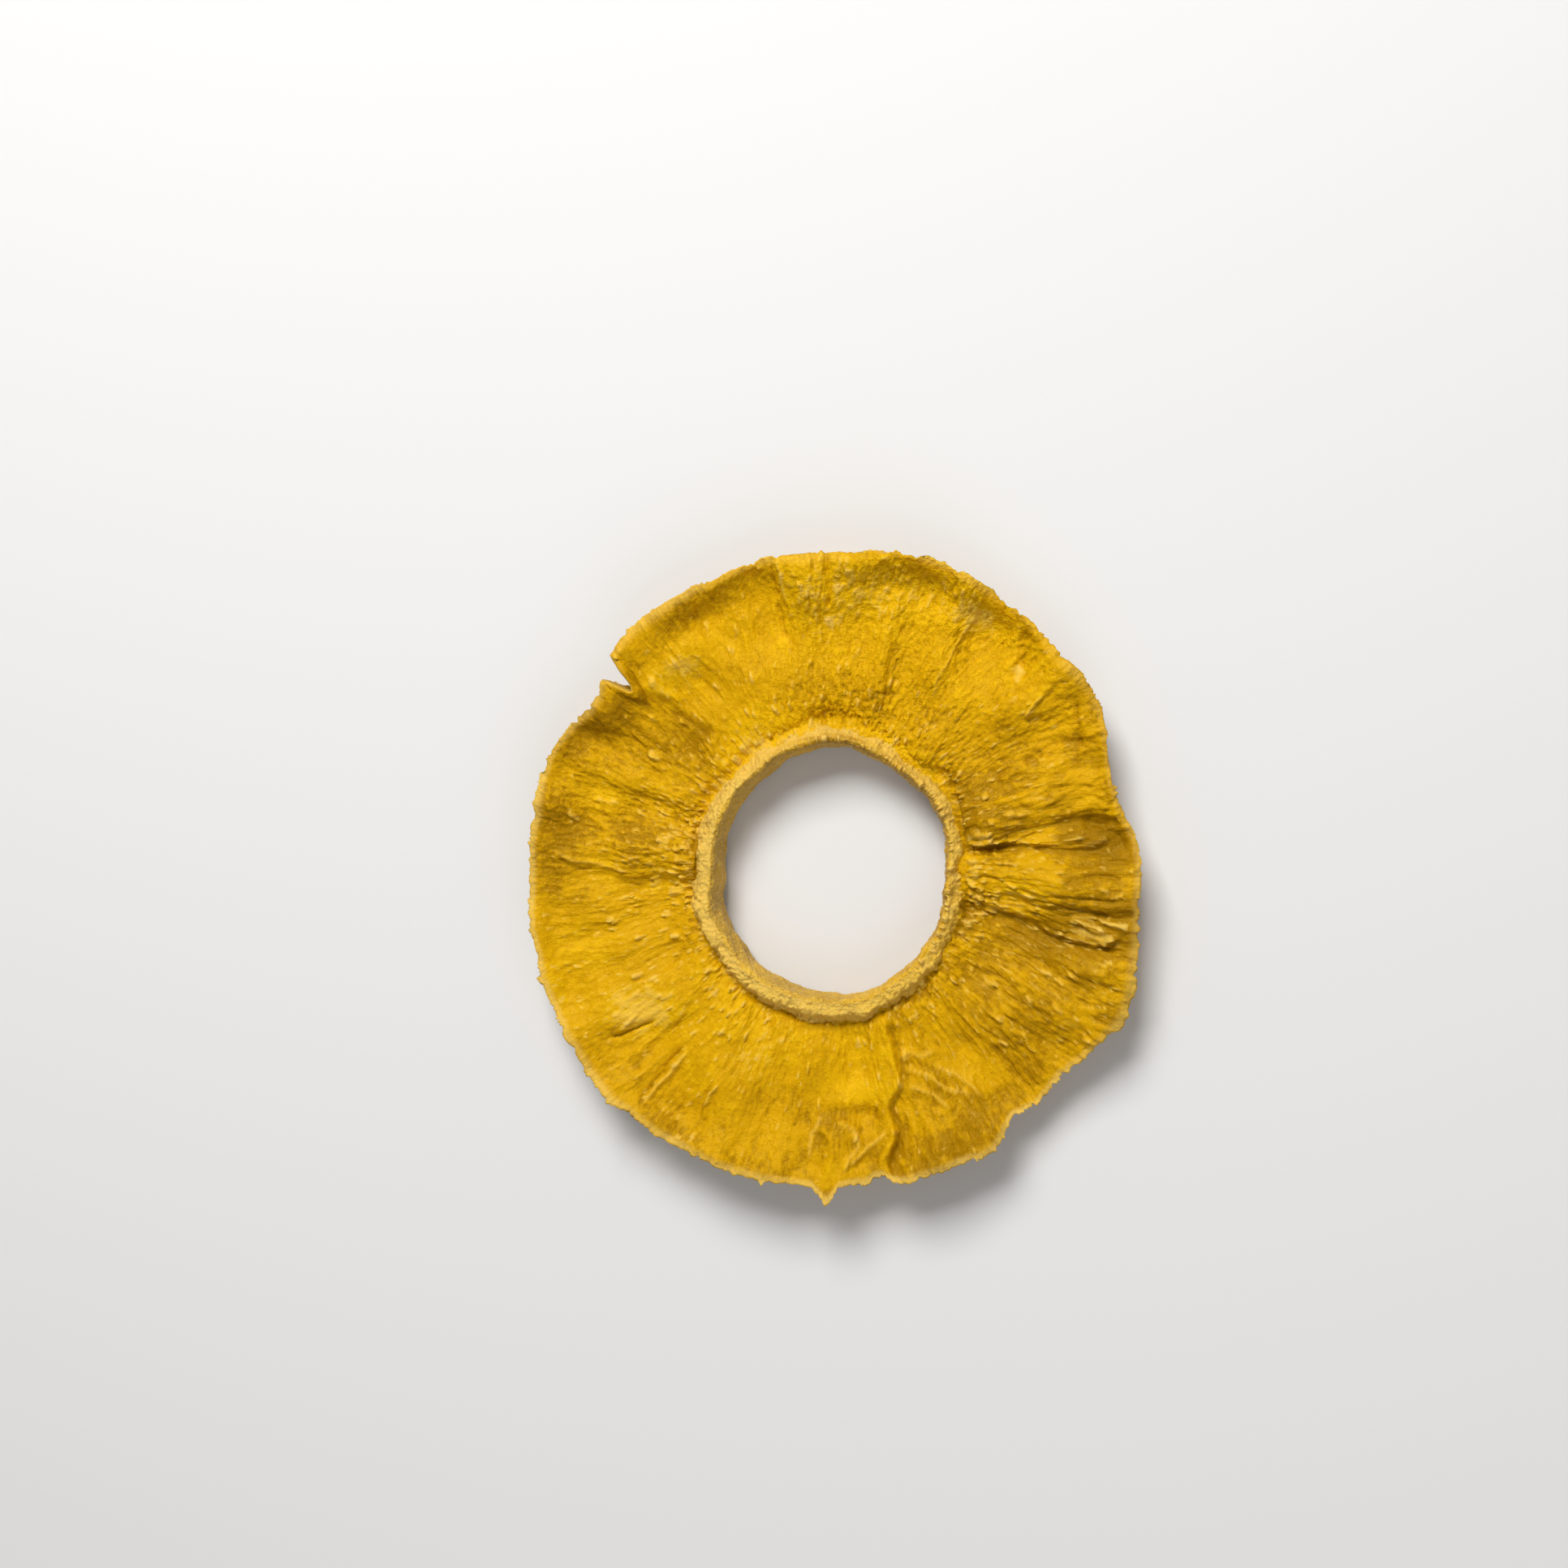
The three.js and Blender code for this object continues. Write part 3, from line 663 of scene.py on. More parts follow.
# Papillae: small pale lumps of juice sac, drawn out along the fibres. The large ones are listed,
# (x, y, half-length, half-width, height), and the rest are strewn, most of them by the collar.
PAPILLAE = [
    (-26.2, 20, 0.9, 0.35, 0.4), (-22.7, 19.5, 0.9, 0.4, 0.4), (-19, 18.6, 0.6, 0.35, 0.4),
    (-22.4, 14.7, 1.3, 0.6, 0.4), (-16.2, 10.2, 0.7, 0.5, 0.45), (-20.1, 5.2, 0.6, 0.4, 0.45),
    (-21.3, 3.7, 0.9, 0.5, 0.35), (-22.4, -1.7, 0.8, 0.5, 0.4), (-19.8, -3, 1.1, 0.5, 0.4),
    (-24.9, -3.9, 0.9, 0.25, 0.35), (-29.4, 8.6, 0.8, 0.4, 0.3), (-33.1, 6.8, 1.3, 0.5, 0.35),
    (2.8, 37.4, 0.9, 0.22, 0.3), (-3.5, 35.8, 0.9, 0.2, 0.3), (1.5, 35.3, 0.9, 0.7, 0.2),
    (0.2, 30.8, 1.0, 0.8, 0.2), (-6.7, 20.1, 0.8, 0.35, 0.4), (-19.3, 26.1, 0.6, 0.35, 0.3),
    (-12.4, 27.7, 0.6, 0.4, 0.25), (-9.6, 24.2, 0.8, 0.35, 0.25), (-24.5, -8.7, 0.8, 0.35, 0.4),
    (-24.7, -13.3, 0.8, 0.45, 0.4), (-22.5, -13.7, 0.8, 0.3, 0.3), (-15.5, -12.3, 0.5, 0.4, 0.35),
    (-13.5, -19.9, 0.5, 0.35, 0.35), (-10.6, -20.3, 0.6, 0.3, 0.35), (-12.3, -14.9, 0.6, 0.3, 0.4),
    (-2.6, -24.4, 0.8, 0.25, 0.3), (-1.4, -29.1, 0.8, 0.22, 0.35), (9.5, -22.6, 0.9, 0.5, 0.35),
    (9.2, -26, 0.9, 0.3, 0.35), (5.3, -21.8, 0.7, 0.25, 0.3), (20, -13.6, 1.1, 0.45, 0.45),
    (21.6, -20.9, 0.8, 0.35, 0.45), (28.3, -16.2, 1.0, 0.35, 0.35), (26.8, -12.1, 1.0, 0.35, 0.4),
    (36.3, 7, 1.2, 0.9, 0.5), (38.1, 5.6, 0.8, 0.8, 0.4), (23.5, 23.9, 1.1, 0.7, 0.3),
    (3.6, 27.1, 0.55, 0.3, 0.35), (1.2, 24.9, 0.5, 0.35, 0.35), (-4.4, 23.2, 0.5, 0.3, 0.4),
    (-1, 21.5, 0.5, 0.35, 0.4), (-4.8, 20.6, 0.5, 0.25, 0.45), (5.2, 22.1, 0.7, 0.3, 0.35),
    (12, 18.2, 0.6, 0.35, 0.4), (11.2, 17.2, 0.5, 0.35, 0.4), (-10.4, 19.8, 0.5, 0.3, 0.35),
    (7.6, 23.1, 0.6, 0.3, 0.35), (-9, 32.1, 0.4, 0.2, 0.3), (7.3, 34.6, 0.7, 0.35, 0.3),
    (-27.5, -6.9, 0.8, 0.3, 0.3),
]
# Long ones on the right: (x, y, half-length, half-width, height, heading, paleness).
SCALES = [
    (32.8, -7.1, 2.8, 0.7, 0.4, -10, 0.6), (32.2, -5.9, 2.1, 0.22, 0.4, -19, 0.9),
    (35.3, -5.9, 2.0, 0.4, 0.35, -16, 1), (31.6, -5.1, 1.7, 0.4, 0.3, -6, 0.4),
    (24.4, -2.6, 1.0, 0.45, 0.4, -8, 1), (30.4, 4.4, 1.4, 0.25, 0.5, 6, 0.9),
    (27.0, 3.5, 1.6, 0.5, 0.35, -4, 0.5), (24.3, 4.0, 0.5, 0.35, 0.4, -25, 1),
    (18.4, 4.6, 0.8, 0.5, 0.4, 5, 0.6), (20.5, 4.5, 0.6, 0.4, 0.4, 0, 0.8),
    (33.2, 4.0, 1.6, 0.6, 0.4, 14, 0.3), (28.4, -7.1, 0.4, 0.3, 0.6, 10, 1),
    (29.5, -8.2, 0.7, 0.2, 0.5, 0, 1), (18.6, -5.3, 0.8, 0.35, 0.6, -8, 1),
    (17.6, -6.1, 0.8, 0.3, 0.5, -5, 0.9), (20.9, -4.0, 0.9, 0.18, 0.5, -38, 1),
    (21.9, -4.3, 0.5, 0.25, 0.5, 12, 1), (25.9, -4.1, 0.6, 0.12, 0.5, -75, 1),
    (37.5, 0.2, 0.7, 0.4, 0.5, 10, 0.9), (34.3, -1.9, 0.8, 0.25, 0.4, -28, 0.7),
    (35.8, -2.6, 1.0, 0.3, 0.4, 15, 0.6), (17.6, -1.0, 1.0, 0.6, 0.6, -60, 0.7),
    (18, -3.1, 0.7, 0.4, 0.5, -5, 0.9), (19.4, -2.9, 0.6, 0.25, 0.4, -15, 0.9),
]
KNOBS = [(172, 0.9, 42), (352, 0.7, 40), (235, 0.3, 30)]  # where most are strewn
GROWN = (1, 1, 0.85, 1.2, 1.6)  # the listed ones are laid shorter, wider and prouder by these
STREWN = 1500
STREWN_INSET, STREWN_MARGINS = 2.9, 3.5  # from the hole, and from the hole and the rim together
STREWN_SIZES, LEAST_SIZE = (4, 0.035), 0.06  # gamma's shape and scale, and what is added
STREWN_LONG, STREWN_TALL = (0.9, 1.7), (0.6, 1.5)  # by their size
WANDER, PALE_TIPS = 16, (0.3, 1)  # degrees off the fibres' way, and how pale they are
NEAR_COLLAR = (1, 7)  # they grow from the second of these distances to the first
ROUND_TO_LONG = (18, 24)  # radii between which they go from round to long
spread = draw.uniform(0, 360, STREWN * 3)
spread = spread[draw.uniform(0, 1.2, spread.size) < 0.12 + lobes(KNOBS, spread)][:STREWN]
out = (RIM_RADIUS - HOLE_RADIUS - STREWN_MARGINS) * draw.uniform(0, 1, spread.size) ** 1.4
out = HOLE_RADIUS + STREWN_INSET + out
size = draw.gamma(*STREWN_SIZES, spread.size) + LEAST_SIZE
size = size * (1.5 - 0.5 * between(out - HOLE_RADIUS - 2, *NEAR_COLLAR))
at_x, at_y = around(out, spread)
length = size * mix(1, draw.uniform(*STREWN_LONG, spread.size), between(out, *ROUND_TO_LONG))
height = size * draw.uniform(*STREWN_TALL, spread.size)
strewn = np.stack([at_x, at_y, length, size, height], -1)
papillae = np.concatenate([np.array(PAPILLAE) * GROWN, strewn])
number = len(papillae)
heading = np.radians(fibre_way(papillae[:, 0], papillae[:, 1]) + draw.normal(0, WANDER, number))
foot, bend, tip = np.zeros(number), np.zeros(number), draw.uniform(*PALE_TIPS, number)
lump, pale_lump_and_highlight = np.zeros(x.shape), np.zeros(x.shape)
laid(zip(*papillae.T, foot, heading, bend, tip), lump, pale_lump_and_highlight)
laid([(*scale[:5], 0, math.radians(scale[5]), 0, scale[6]) for scale in SCALES], lump, pale_lump_and_highlight)

# The relief is calmer by the rim, where the slice is thin, and it leans the way the knife went.
LUMPS_SHOW = (0.6, 1.6)
CALM, CALM_FROM = 0.5, (0.95, 1)
DEEPEST, DEEPEST_FROM = (-2.0, -0.6), (0.8, 0.95)  # in the middle, and by the rim
LEAN_OVER = 0.3
relief = off_collar * (web_relief + drawn_relief) + between(from_crest, *LUMPS_SHOW) * lump
relief = relief * (1 - CALM * between(face_share, *CALM_FROM))
relief = np.maximum(relief, mix(*DEEPEST, between(face_share, *DEEPEST_FROM)))
skin[:, face, 2] += off_collar * stepped
skin[:, face, 1] -= off_collar * LEAN_OVER * web_relief


def wall_relief(x, y, z):
    """Crags and pits of the outer wall, which the lip under the rim has too."""
    crags = 0.5 * noise(x / 5 + 3, y / 5, z / 3) + 0.4 * puffed(noise(x / 2.4, y / 2.4 + 17, z / 1.5))
    return crags + 0.16 * puffed(noise(x / 0.9, y / 0.9 + 31, z / 0.7)) - 0.1


# The rim is ragged: fine sharp teeth, some longer than others, that stand out from its edge.
RIM_TEETH = [(34, 0.45), (80, 0.3)]  # (how many, how long)
TOOTHED = [(190, 1, 45), (262, 0.6, 30), (305, 0.9, 32), (120, 0.4, 20), (0, 0.3, 30)]
RAGGED = [(9, 0.25), (26, 0.35), (60, 0.2)]  # (how many, how far)
TOOTH_WIDTH, FEWEST_TEETH = 0.22, 0.25
TOOTHLESS, TEETH_FULL = -0.35, 0.35  # they come and go along the rim between these
EDGE_FROM = 0.93  # from this share of the way out, the face is drawn out with the teeth
LIP_CRAGS, LIP_BLEND = 0.6, 0.2
edge = between(face_share, EDGE_FROM, 1)
ring = np.radians(fibre_way(x[:, -1:], y[:, -1:]))


def along_rim(count, offset):
    return noise(np.cos(ring) * count, np.sin(ring) * count, 0 * ring + offset)


length = sum(size * along_rim(count, 2.5) for count, size in RAGGED)
for count, size in RIM_TEETH:
    sharp = pointed(along_rim(count, 0.5), TOOTH_WIDTH)
    where = between(along_rim(12, count), TOOTHLESS, TEETH_FULL)
    length = length + size * sharp * where * (FEWEST_TEETH + lobes(TOOTHED, angle))
outward = np.stack([*around(1, angle), 0 * angle], -1)
moved = normal[:, face] * relief[..., None] + outward * (edge * length)[..., None]
skin[:, face] += moved
lip_relief = LIP_CRAGS * wall_relief(*(skin[:, lip, i] for i in range(3))) - 0.2
lip_moved = outward * lip_relief[..., None]
skin[:, lip] += mix(moved[:, -1:], lip_moved, between(lip_down, 0, LIP_BLEND)[..., None])

# The middle of the outline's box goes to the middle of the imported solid's.
low, high = (np.array(corner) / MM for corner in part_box("pineapple_ring"))
flat = skin.reshape(-1, 3)
centring = (low + high) / 2 - (flat.min(0) + flat.max(0)) / 2
centring[2] = 0


def put(piece, places, skin):
    """Move the torus's vertices to their places on the skin."""
    skin = skin + centring
    skin[..., 2] = np.maximum(0, skin[..., 2])
    piece.data.vertices.foreach_set("co", (skin[places] * MM).ravel())
    piece.data.update()


def keep(piece, places, **layers):
    """Store each layer as an attribute of the mesh, 0 on the rows past those that are given."""
    for name, values in layers.items():
        size = values.shape[-1] if values.ndim == 3 else 1
        full = np.zeros((values.shape[0], places[1].max() + 1, size), np.float32)
        full[:, : values.shape[1]] = values.reshape(*values.shape[:2], size)
        kind, key = ("FLOAT_VECTOR", "vector") if size == 3 else ("FLOAT", "value")
        layer = piece.data.attributes.new(name, kind, "POINT")
        layer.data.foreach_set(key, full[places].ravel())


put(web, web_places, skin)

# What the finish follows: how raised a place is, with painted light and shade added, how pale,
# how crumbly, and the way of the fibres there. Some parts of the slice are painted browner or
# paler, partly as the flesh's own tone and partly as painted shade and light, such as shade in
# the folds, by the collar's foot and at the tear; the bottom of its folds is painted browner as
# shade: (at an angle, share of the way from the collar to the rim, by, over degrees, over share).
BROAD_TONE_AND_SHADE = [
    (10, 0.75, -0.5, 12, 0.35), (28, 0, -1.3, 20, 0.3), (88, 0.8, 1.1, 18, 0.3),
    (110, 0.5, -0.3, 12, 0.5), (158, 0.9, -0.8, 24, 0.3), (168, 0.6, -0.5, 12, 0.5),
    (170, 0.1, -0.6, 22, 0.4), (198, 0.75, 0.3, 18, 0.3), (212, 0.5, 0.4, 35, 1),
    (235, 0.9, -0.8, 14, 0.3), (250, 0.4, 0.8, 14, 0.5), (272, 0.8, -0.5, 16, 0.35),
    (292, 0.8, -0.4, 12, 0.35), (308, 0.5, -0.3, 24, 1.2), (328, 0.35, -0.8, 13, 0.3),
    (350, 0.85, -1, 16, 0.3), (352, 0.5, -0.7, 32, 1.2),
]
TONE_AND_SHADE_BY_COLLAR = [
    (28, 0.02, 1.2, 22, 0.07), (47, 0.09, 1.2, 11, 0.06), (75, 0.22, -0.45, 22, 0.2),
    (110, 0.02, 1.4, 40, 0.1), (122, 0.17, 1.1, 12, 0.1), (147, 0.09, 0.9, 10, 0.06),
    (205, 0.06, -0.5, 40, 0.1), (272, 0.03, 0.4, 22, 0.05), (300, 0.1, -0.6, 18, 0.2),
    (305, 0.09, -0.9, 10, 0.06), (328, 0.15, 0.6, 5, 0.05), (343, 0.08, -1, 9, 0.07),
    (344, 0.11, -0.8, 5, 0.05),
]
TONE_AND_SHADE_BETWEEN = [
    (10, 0.25, -0.2, 8, 0.2), (11, 0.72, -0.8, 5, 0.12), (28, 0.54, -0.5, 6, 0.08),
    (67, 0.56, -0.8, 6, 0.15), (68, 0.3, -0.6, 14, 0.15), (123, 0.68, 0.8, 5, 0.08),
    (130, 0.72, 1.1, 9, 0.14), (137, 0.3, -0.6, 10, 0.12), (138, 0.44, -0.6, 9, 0.13),
    (164, 0.7, 1.2, 6, 0.15), (217, 0.6, 1.3, 8, 0.18), (270, 0.62, -0.5, 18, 0.1),
    (281, 0.5, 1.1, 9, 0.08), (295, 0.35, 0.25, 14, 0.25), (308, 0.6, 1.1, 4.5, 0.3),
    (342, 0.5, -1, 5, 0.22), (355, 0.42, 1.4, 5, 0.27),
]
TONE_AND_SHADE_BY_RIM = [
    (5, 0.84, -1.1, 5, 0.09), (15, 0.8, 1.5, 5, 0.15), (59, 0.85, 1.3, 6, 0.08),
    (68, 0.78, 0.4, 10, 0.2), (139, 0.84, -1.2, 5, 0.06), (154, 0.89, -0.8, 5, 0.06),
    (173, 0.82, -0.6, 4, 0.15), (310, 0.85, -0.5, 16, 0.2), (317, 0.85, -0.7, 6, 0.08),
]
RAISED_FULL, WALL_RAISED_FULL = 0.35, 0.4  # relief that counts as wholly raised
FIBRE_RUN = (28, 6)  # how fine the streaks are across the fibres, and how long along them
ROUND_RUN = (1 / 3, 1 / 3, 1)  # on the wall the streaks run round
WALL_PALE, WALL_PALE_OVER = (0.1, 0.5), (-0.2, 0.3)  # from and to, over this relief
TIPS_PALE, TIPS_OVER = 0.4, (0.3, 0.9)
# Lumps are pale with painted highlights on their crests; crests get a painted highlight.
LUMPS_PALE, CRESTS_HIGHLIGHT = 0.9, 0.8
EDGE_PALE, EDGE_PALE_OVER, LIP_PALE_OVER = (0, 0.85), (0.95, 0.985), (0.1, 0.3)
# How much shade is painted in the bottom of the folds.
SHADE_PAINTED_IN_FOLDS = 0.5
CRUMBLE, WALL_CRUMBLE = (0.3, 0.7, 0.2), 0.3  # at least, where crumbly, and by the collar


def toned_and_shaded(at, share, by, wide, deep):
    return by * bump(turn_between(at, angle), wide) * bump(face_share - share, deep)


def wall_paleness(relief):
    return mix(*WALL_PALE, between(relief, *WALL_PALE_OVER))


def along_fibres(line, radius):
    fine, long = FIBRE_RUN
    return np.stack([np.cos(line) * fine, np.sin(line) * fine, radius / long], -1)


# Painted shade and light by region, partly the flesh's own tone.
tone_and_shade = sum(toned_and_shaded(*item) for item in BROAD_TONE_AND_SHADE + TONE_AND_SHADE_BY_COLLAR + TONE_AND_SHADE_BETWEEN + TONE_AND_SHADE_BY_RIM)
# The bottom of the folds is painted darker, as shade.
tone_and_shade = tone_and_shade + SHADE_PAINTED_IN_FOLDS * np.minimum(0, folds(UPPER_FOLDS, x, y))
# Relief with painted light and shade: hollows are painted darker as shade, raised places paler as light,
# and the regional tones and the steps' painted light and shade are added to it.
raised = (fine_rise + 0.5 * drawn_relief + crumb_rise + lump) / RAISED_FULL
# Paleness of tips, lumps and crests: partly pale flesh, partly painted highlights.
paleness = np.maximum(TIPS_PALE * between(pale_tips_and_highlights, *TIPS_OVER), LUMPS_PALE * pale_lump_and_highlight)
paleness = np.clip(paleness + CRESTS_HIGHLIGHT * crest_highlight, 0, 1)
edge_pale = np.clip(0.1 + 0.6 * lobes(TOOTHED, angle) + 0.5 * length, *EDGE_PALE)
paleness = np.maximum(paleness, edge_pale * between(face_share, *EDGE_PALE_OVER))
lip_pale = np.maximum(wall_paleness(lip_relief), edge_pale * (1 - between(lip_down, *LIP_PALE_OVER)))
raised = np.clip(raised, -1, 1) + tone_and_shade + step_light_and_shadow
lip_raised = np.clip(lip_relief / WALL_RAISED_FULL, -1, 1)
least, where_crumbly, by_collar = CRUMBLE
crumbly = least + where_crumbly * lobes(CRUMBLY, angle) + by_collar * near_collar
keep(
    web,
    web_places,
    raised=np.concatenate([raised, lip_raised], 1),
    pale=np.concatenate([paleness, lip_pale], 1),
    fibre_way=np.concatenate([along_fibres(line, radius), skin[:, lip] * ROUND_RUN], 1),
    crumb=np.concatenate([crumbly, np.full(lip_relief.shape, WALL_CRUMBLE)], 1),
)


def linked(tree, kind, inputs=(), **settings):
    """A node with its settings, and each of its inputs set to a value or joined to an output."""
    node = tree.nodes.new(kind)
    for name, value in settings.items():
        setattr(node, name, value)
    for name, value in dict(inputs).items():
        if isinstance(value, bpy.types.NodeSocket):
            tree.links.new(value, node.inputs[name])
        else:
            node.inputs[name].default_value = value
    return node


flesh_look = bpy.data.node_groups.new("dried_flesh_look", "ShaderNodeTree")


def stretched(value, low, high, to_low=0.0, to_high=1.0):
    inputs = {"Value": value, "From Min": low, "From Max": high, "To Min": to_low, "To Max": to_high}
    return linked(flesh_look, "ShaderNodeMapRange", inputs, interpolation_type="SMOOTHSTEP").outputs[0]


def blended(share, first, second):
    node = linked(flesh_look, "ShaderNodeMix", data_type="RGBA")
    for name, value in (("Factor_Float", share), ("A_Color", first), ("B_Color", second)):
        socket = next(s for s in node.inputs if s.identifier == name)
        if isinstance(value, bpy.types.NodeSocket):
            flesh_look.links.new(value, socket)
        else:
            socket.default_value = (*value, 1)
    return next(s for s in node.outputs if s.identifier == "Result_Color")


def product(first, second, added=0.0):
    inputs = {0: first, 1: second, 2: added}
    return linked(flesh_look, "ShaderNodeMath", inputs, operation="MULTIPLY_ADD").outputs[0]


def sums(*terms):
    """The sum of (output, factor) pairs."""
    total = 0.0
    for output, factor in terms:
        total = product(output, factor, total)
    return total


def texture(vector, scale, detail=2.0, roughness=0.6):
    inputs = {"Vector": vector, "Scale": scale, "Detail": detail, "Roughness": roughness}
    return linked(flesh_look, "ShaderNodeTexNoise", inputs).outputs["Fac"]


# The look of dried flesh, for everything that is of it: gold, olive and then brown in the hollows,
# as painted shade, paler gold where it stands up, as painted light, and cream on tips, lumps and
# the collar, with cream painted highlights on the highest spots.
GOLD = (0.56, 0.294, 0.0005)
LIT_GOLD = (0.67, 0.378, 0.0012)
OLIVE = (0.33, 0.159, 0.0002)
BROWN = (0.25, 0.117, 0.0002)
CREAM = (0.70, 0.46, 0.09)

for name in ("Place", "Way"):
    flesh_look.interface.new_socket(name, in_out="INPUT", socket_type="NodeSocketVector")
for name in ("Raised", "Pale", "Crumb"):
    flesh_look.interface.new_socket(name, in_out="INPUT", socket_type="NodeSocketFloat")
flesh_look.interface.new_socket("Colour", in_out="OUTPUT", socket_type="NodeSocketColor")
for name in ("Roughness", "Height"):
    flesh_look.interface.new_socket(name, in_out="OUTPUT", socket_type="NodeSocketFloat")
place, way, raised, pale, crumb = flesh_look.nodes.new("NodeGroupInput").outputs[:5]
# Their scales are lumps to the metre of place, or to the unit of the fibres' way.
patches = texture(place, 45, 2, 0.5)
clouds = texture(place, 130, 3, 0.5)
specks = texture(place, 900, 3)
grain = texture(place, 2200)
streaks = texture(way, 2.2, 4)
crumbs = product(crumb, texture(place, 2000))
broad_lift = [(clouds, 1.2), (patches, 0.9), (crumbs, 0.9), (crumb, -0.43)]
# Relief with its painted shade and light, and random patches, specks and streaks, lift the colour from
# brown through olive and gold to lit gold: brown and olive in hollows are painted shade.
lift = sums((raised, 0.4), (streaks, 0.7), (specks, 0.6), *broad_lift)
# Cream on the highest, most streaked spots, partly pale flecks and partly painted highlights.
pale_tips_and_highlights = sums((raised, 0.4), (specks, 0.7), (streaks, 0.8))
tone_and_shade = BROWN
for starts, full, colour in [(0.7, 1.3, OLIVE), (1.25, 1.7, GOLD), (1.7, 2.15, LIT_GOLD)]:
    tone_and_shade = blended(stretched(lift, starts, full), tone_and_shade, colour)
tone_and_shade = blended(stretched(pale_tips_and_highlights, 1.1, 1.4, 0.0, 0.4), tone_and_shade, CREAM)
tone_and_shade = blended(pale, tone_and_shade, CREAM)
result = {
    "Colour": tone_and_shade,
    "Roughness": stretched(specks, 0.3, 0.7, 0.38, 0.6),
    "Height": sums((grain, 0.4), (specks, 0.9), (streaks, 0.7), (crumbs, 1.3)),
}
linked(flesh_look, "NodeGroupOutput", result)

SHEEN_AND_DEPTH = {
    "Specular IOR Level": 0.35,
    "Specular Tint": (1, 0.7, 0.12, 1),
    "Subsurface Weight": 0.3,
    "Subsurface Radius": (1.0, 0.55, 0.1),
    "Subsurface Scale": 0.0005,
}


def of_flesh(piece, bump_depth):
    """Give the piece the look of dried flesh, its grain so deep, and its part in the model."""
    finish = bpy.data.materials.new(piece.name + "_flesh")
    finish.use_nodes = True
    tree = finish.node_tree
    shader = tree.nodes["Principled BSDF"]
    inputs = {
        "Place": linked(tree, "ShaderNodeTexCoord").outputs["Object"],
        "Way": linked(tree, "ShaderNodeAttribute", attribute_name="fibre_way").outputs["Vector"],
    }
    for name in ("raised", "pale", "crumb"):
        stored = linked(tree, "ShaderNodeAttribute", attribute_name=name)
        inputs[name.capitalize()] = stored.outputs["Fac"]
    look = linked(tree, "ShaderNodeGroup", node_tree=flesh_look)
    for socket, output in inputs.items():
        tree.links.new(output, look.inputs[socket])
    grain = linked(tree, "ShaderNodeBump", {"Height": look.outputs["Height"], "Distance": bump_depth})
    tree.links.new(look.outputs["Colour"], shader.inputs["Base Color"])
    tree.links.new(look.outputs["Roughness"], shader.inputs["Roughness"])
    tree.links.new(grain.outputs["Normal"], shader.inputs["Normal"])
    for name, value in SHEEN_AND_DEPTH.items():
        shader.inputs[name].default_value = value
    piece.data.materials.append(finish)
    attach(piece, "root")
    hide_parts("pineapple_ring")


of_flesh(web, 0.0002)

# ---- The outer wall and the underside --------------------------------------------------------
# The wall where the rind was cut away, puckered and pitted as it dried, and the creased
# underside that the slice lies on. One torus again, with its back inside the web.

SIDES = {"columns": 1400, "wall": 30, "under": 32, "back": 8}
# The wall comes out from behind the lip: from and to how far down, and from how deep.
WALL_START, WALL_SHOWN, WALL_SUNK = 0.28, 0.35, 0.8
UNDER_END = 0.05
UNDER_WALL_BLEND = 0.15
UNDER_COARSE_TALL, UNDER_MIDDLING_TALL, UNDER_FINE_TALL, UNDER_CRUMBS_TALL = 0.3, 0.4, 0.35, 0.1
WALL_SET_BACK = 0.2
SIDES_CRUMBLE = 0.4
INNER_SHARES = [0.05, 0.12, 0.3, 0.5, 0.7, 0.8, 0.86, 0.9]  # the back, on its way to the rim
INNER_DEPTHS = [0.65, 0.6, 0.6, 0.6, 0.56, 0.5, 0.42, 0.36]

sides, places = ring_of("ring_sides", SIDES["columns"], SIDES["wall"] + SIDES["under"] + SIDES["back"])
angle = round_about(SIDES["columns"])
down = np.linspace(WALL_START, 1, SIDES["wall"], endpoint=False)[None, :]
gone = np.linspace(0, 1, SIDES["under"])[None, :]
under_share = mix(1, UNDER_END, crowded(gone))
back_share, back_depth = as_rows(INNER_SHARES, INNER_DEPTHS)
wall_radius, wall_height = wall_points(angle, down)
wall_radius = wall_radius - WALL_SUNK * (1 - between(down, WALL_START, WALL_SHOWN))
skin = section(
    angle,
    (np.ones_like(down), (wall_radius, wall_height)),
    (under_share, under_points(angle, under_share)),
    (back_share, middle_points(angle, back_share, back_depth)),
)
shown = slice(0, SIDES["wall"] + SIDES["under"])
x, y, z = (skin[:, shown, i] for i in range(3))
radius = np.hypot(x, y)
line = fibre_line(x, y)
is_wall = np.concatenate([np.ones((1, SIDES["wall"])), 1 - between(gone, 0, UNDER_WALL_BLEND)], 1)

# The wall is craggy, with creases that run round it; the underside is fibrous like the web.
crumbs = puffed(noise(x / 0.9, y / 0.9 + 31, z / 0.7))
under_relief = UNDER_COARSE_TALL * fibres(*COARSE) + UNDER_MIDDLING_TALL * puffed(fibres(*MIDDLING))
under_relief = under_relief + UNDER_FINE_TALL * puffed(fibres(*FINE)) + UNDER_CRUMBS_TALL * crumbs
relief = is_wall * (wall_relief(x, y, z) - WALL_SET_BACK) + (1 - is_wall) * under_relief
skin[:, shown] += facing(skin)[:, shown] * relief[..., None]
put(sides, places, skin)

keep(
    sides,
    places,
    raised=np.clip(relief / WALL_RAISED_FULL, -1, 1),
    pale=is_wall * wall_paleness(relief),
    fibre_way=mix(along_fibres(line, radius), skin[:, shown] * ROUND_RUN, is_wall[..., None]),
    crumb=np.full(skin.shape[:2], SIDES_CRUMBLE),
)
of_flesh(sides, 0.00025)

# ---- The collar --------------------------------------------------------------------------
# The tougher flesh that was next to the core: it dried less, and stands round the hole as a
# raised pale lip, smooth on the left and toothed and lumpy on the right.

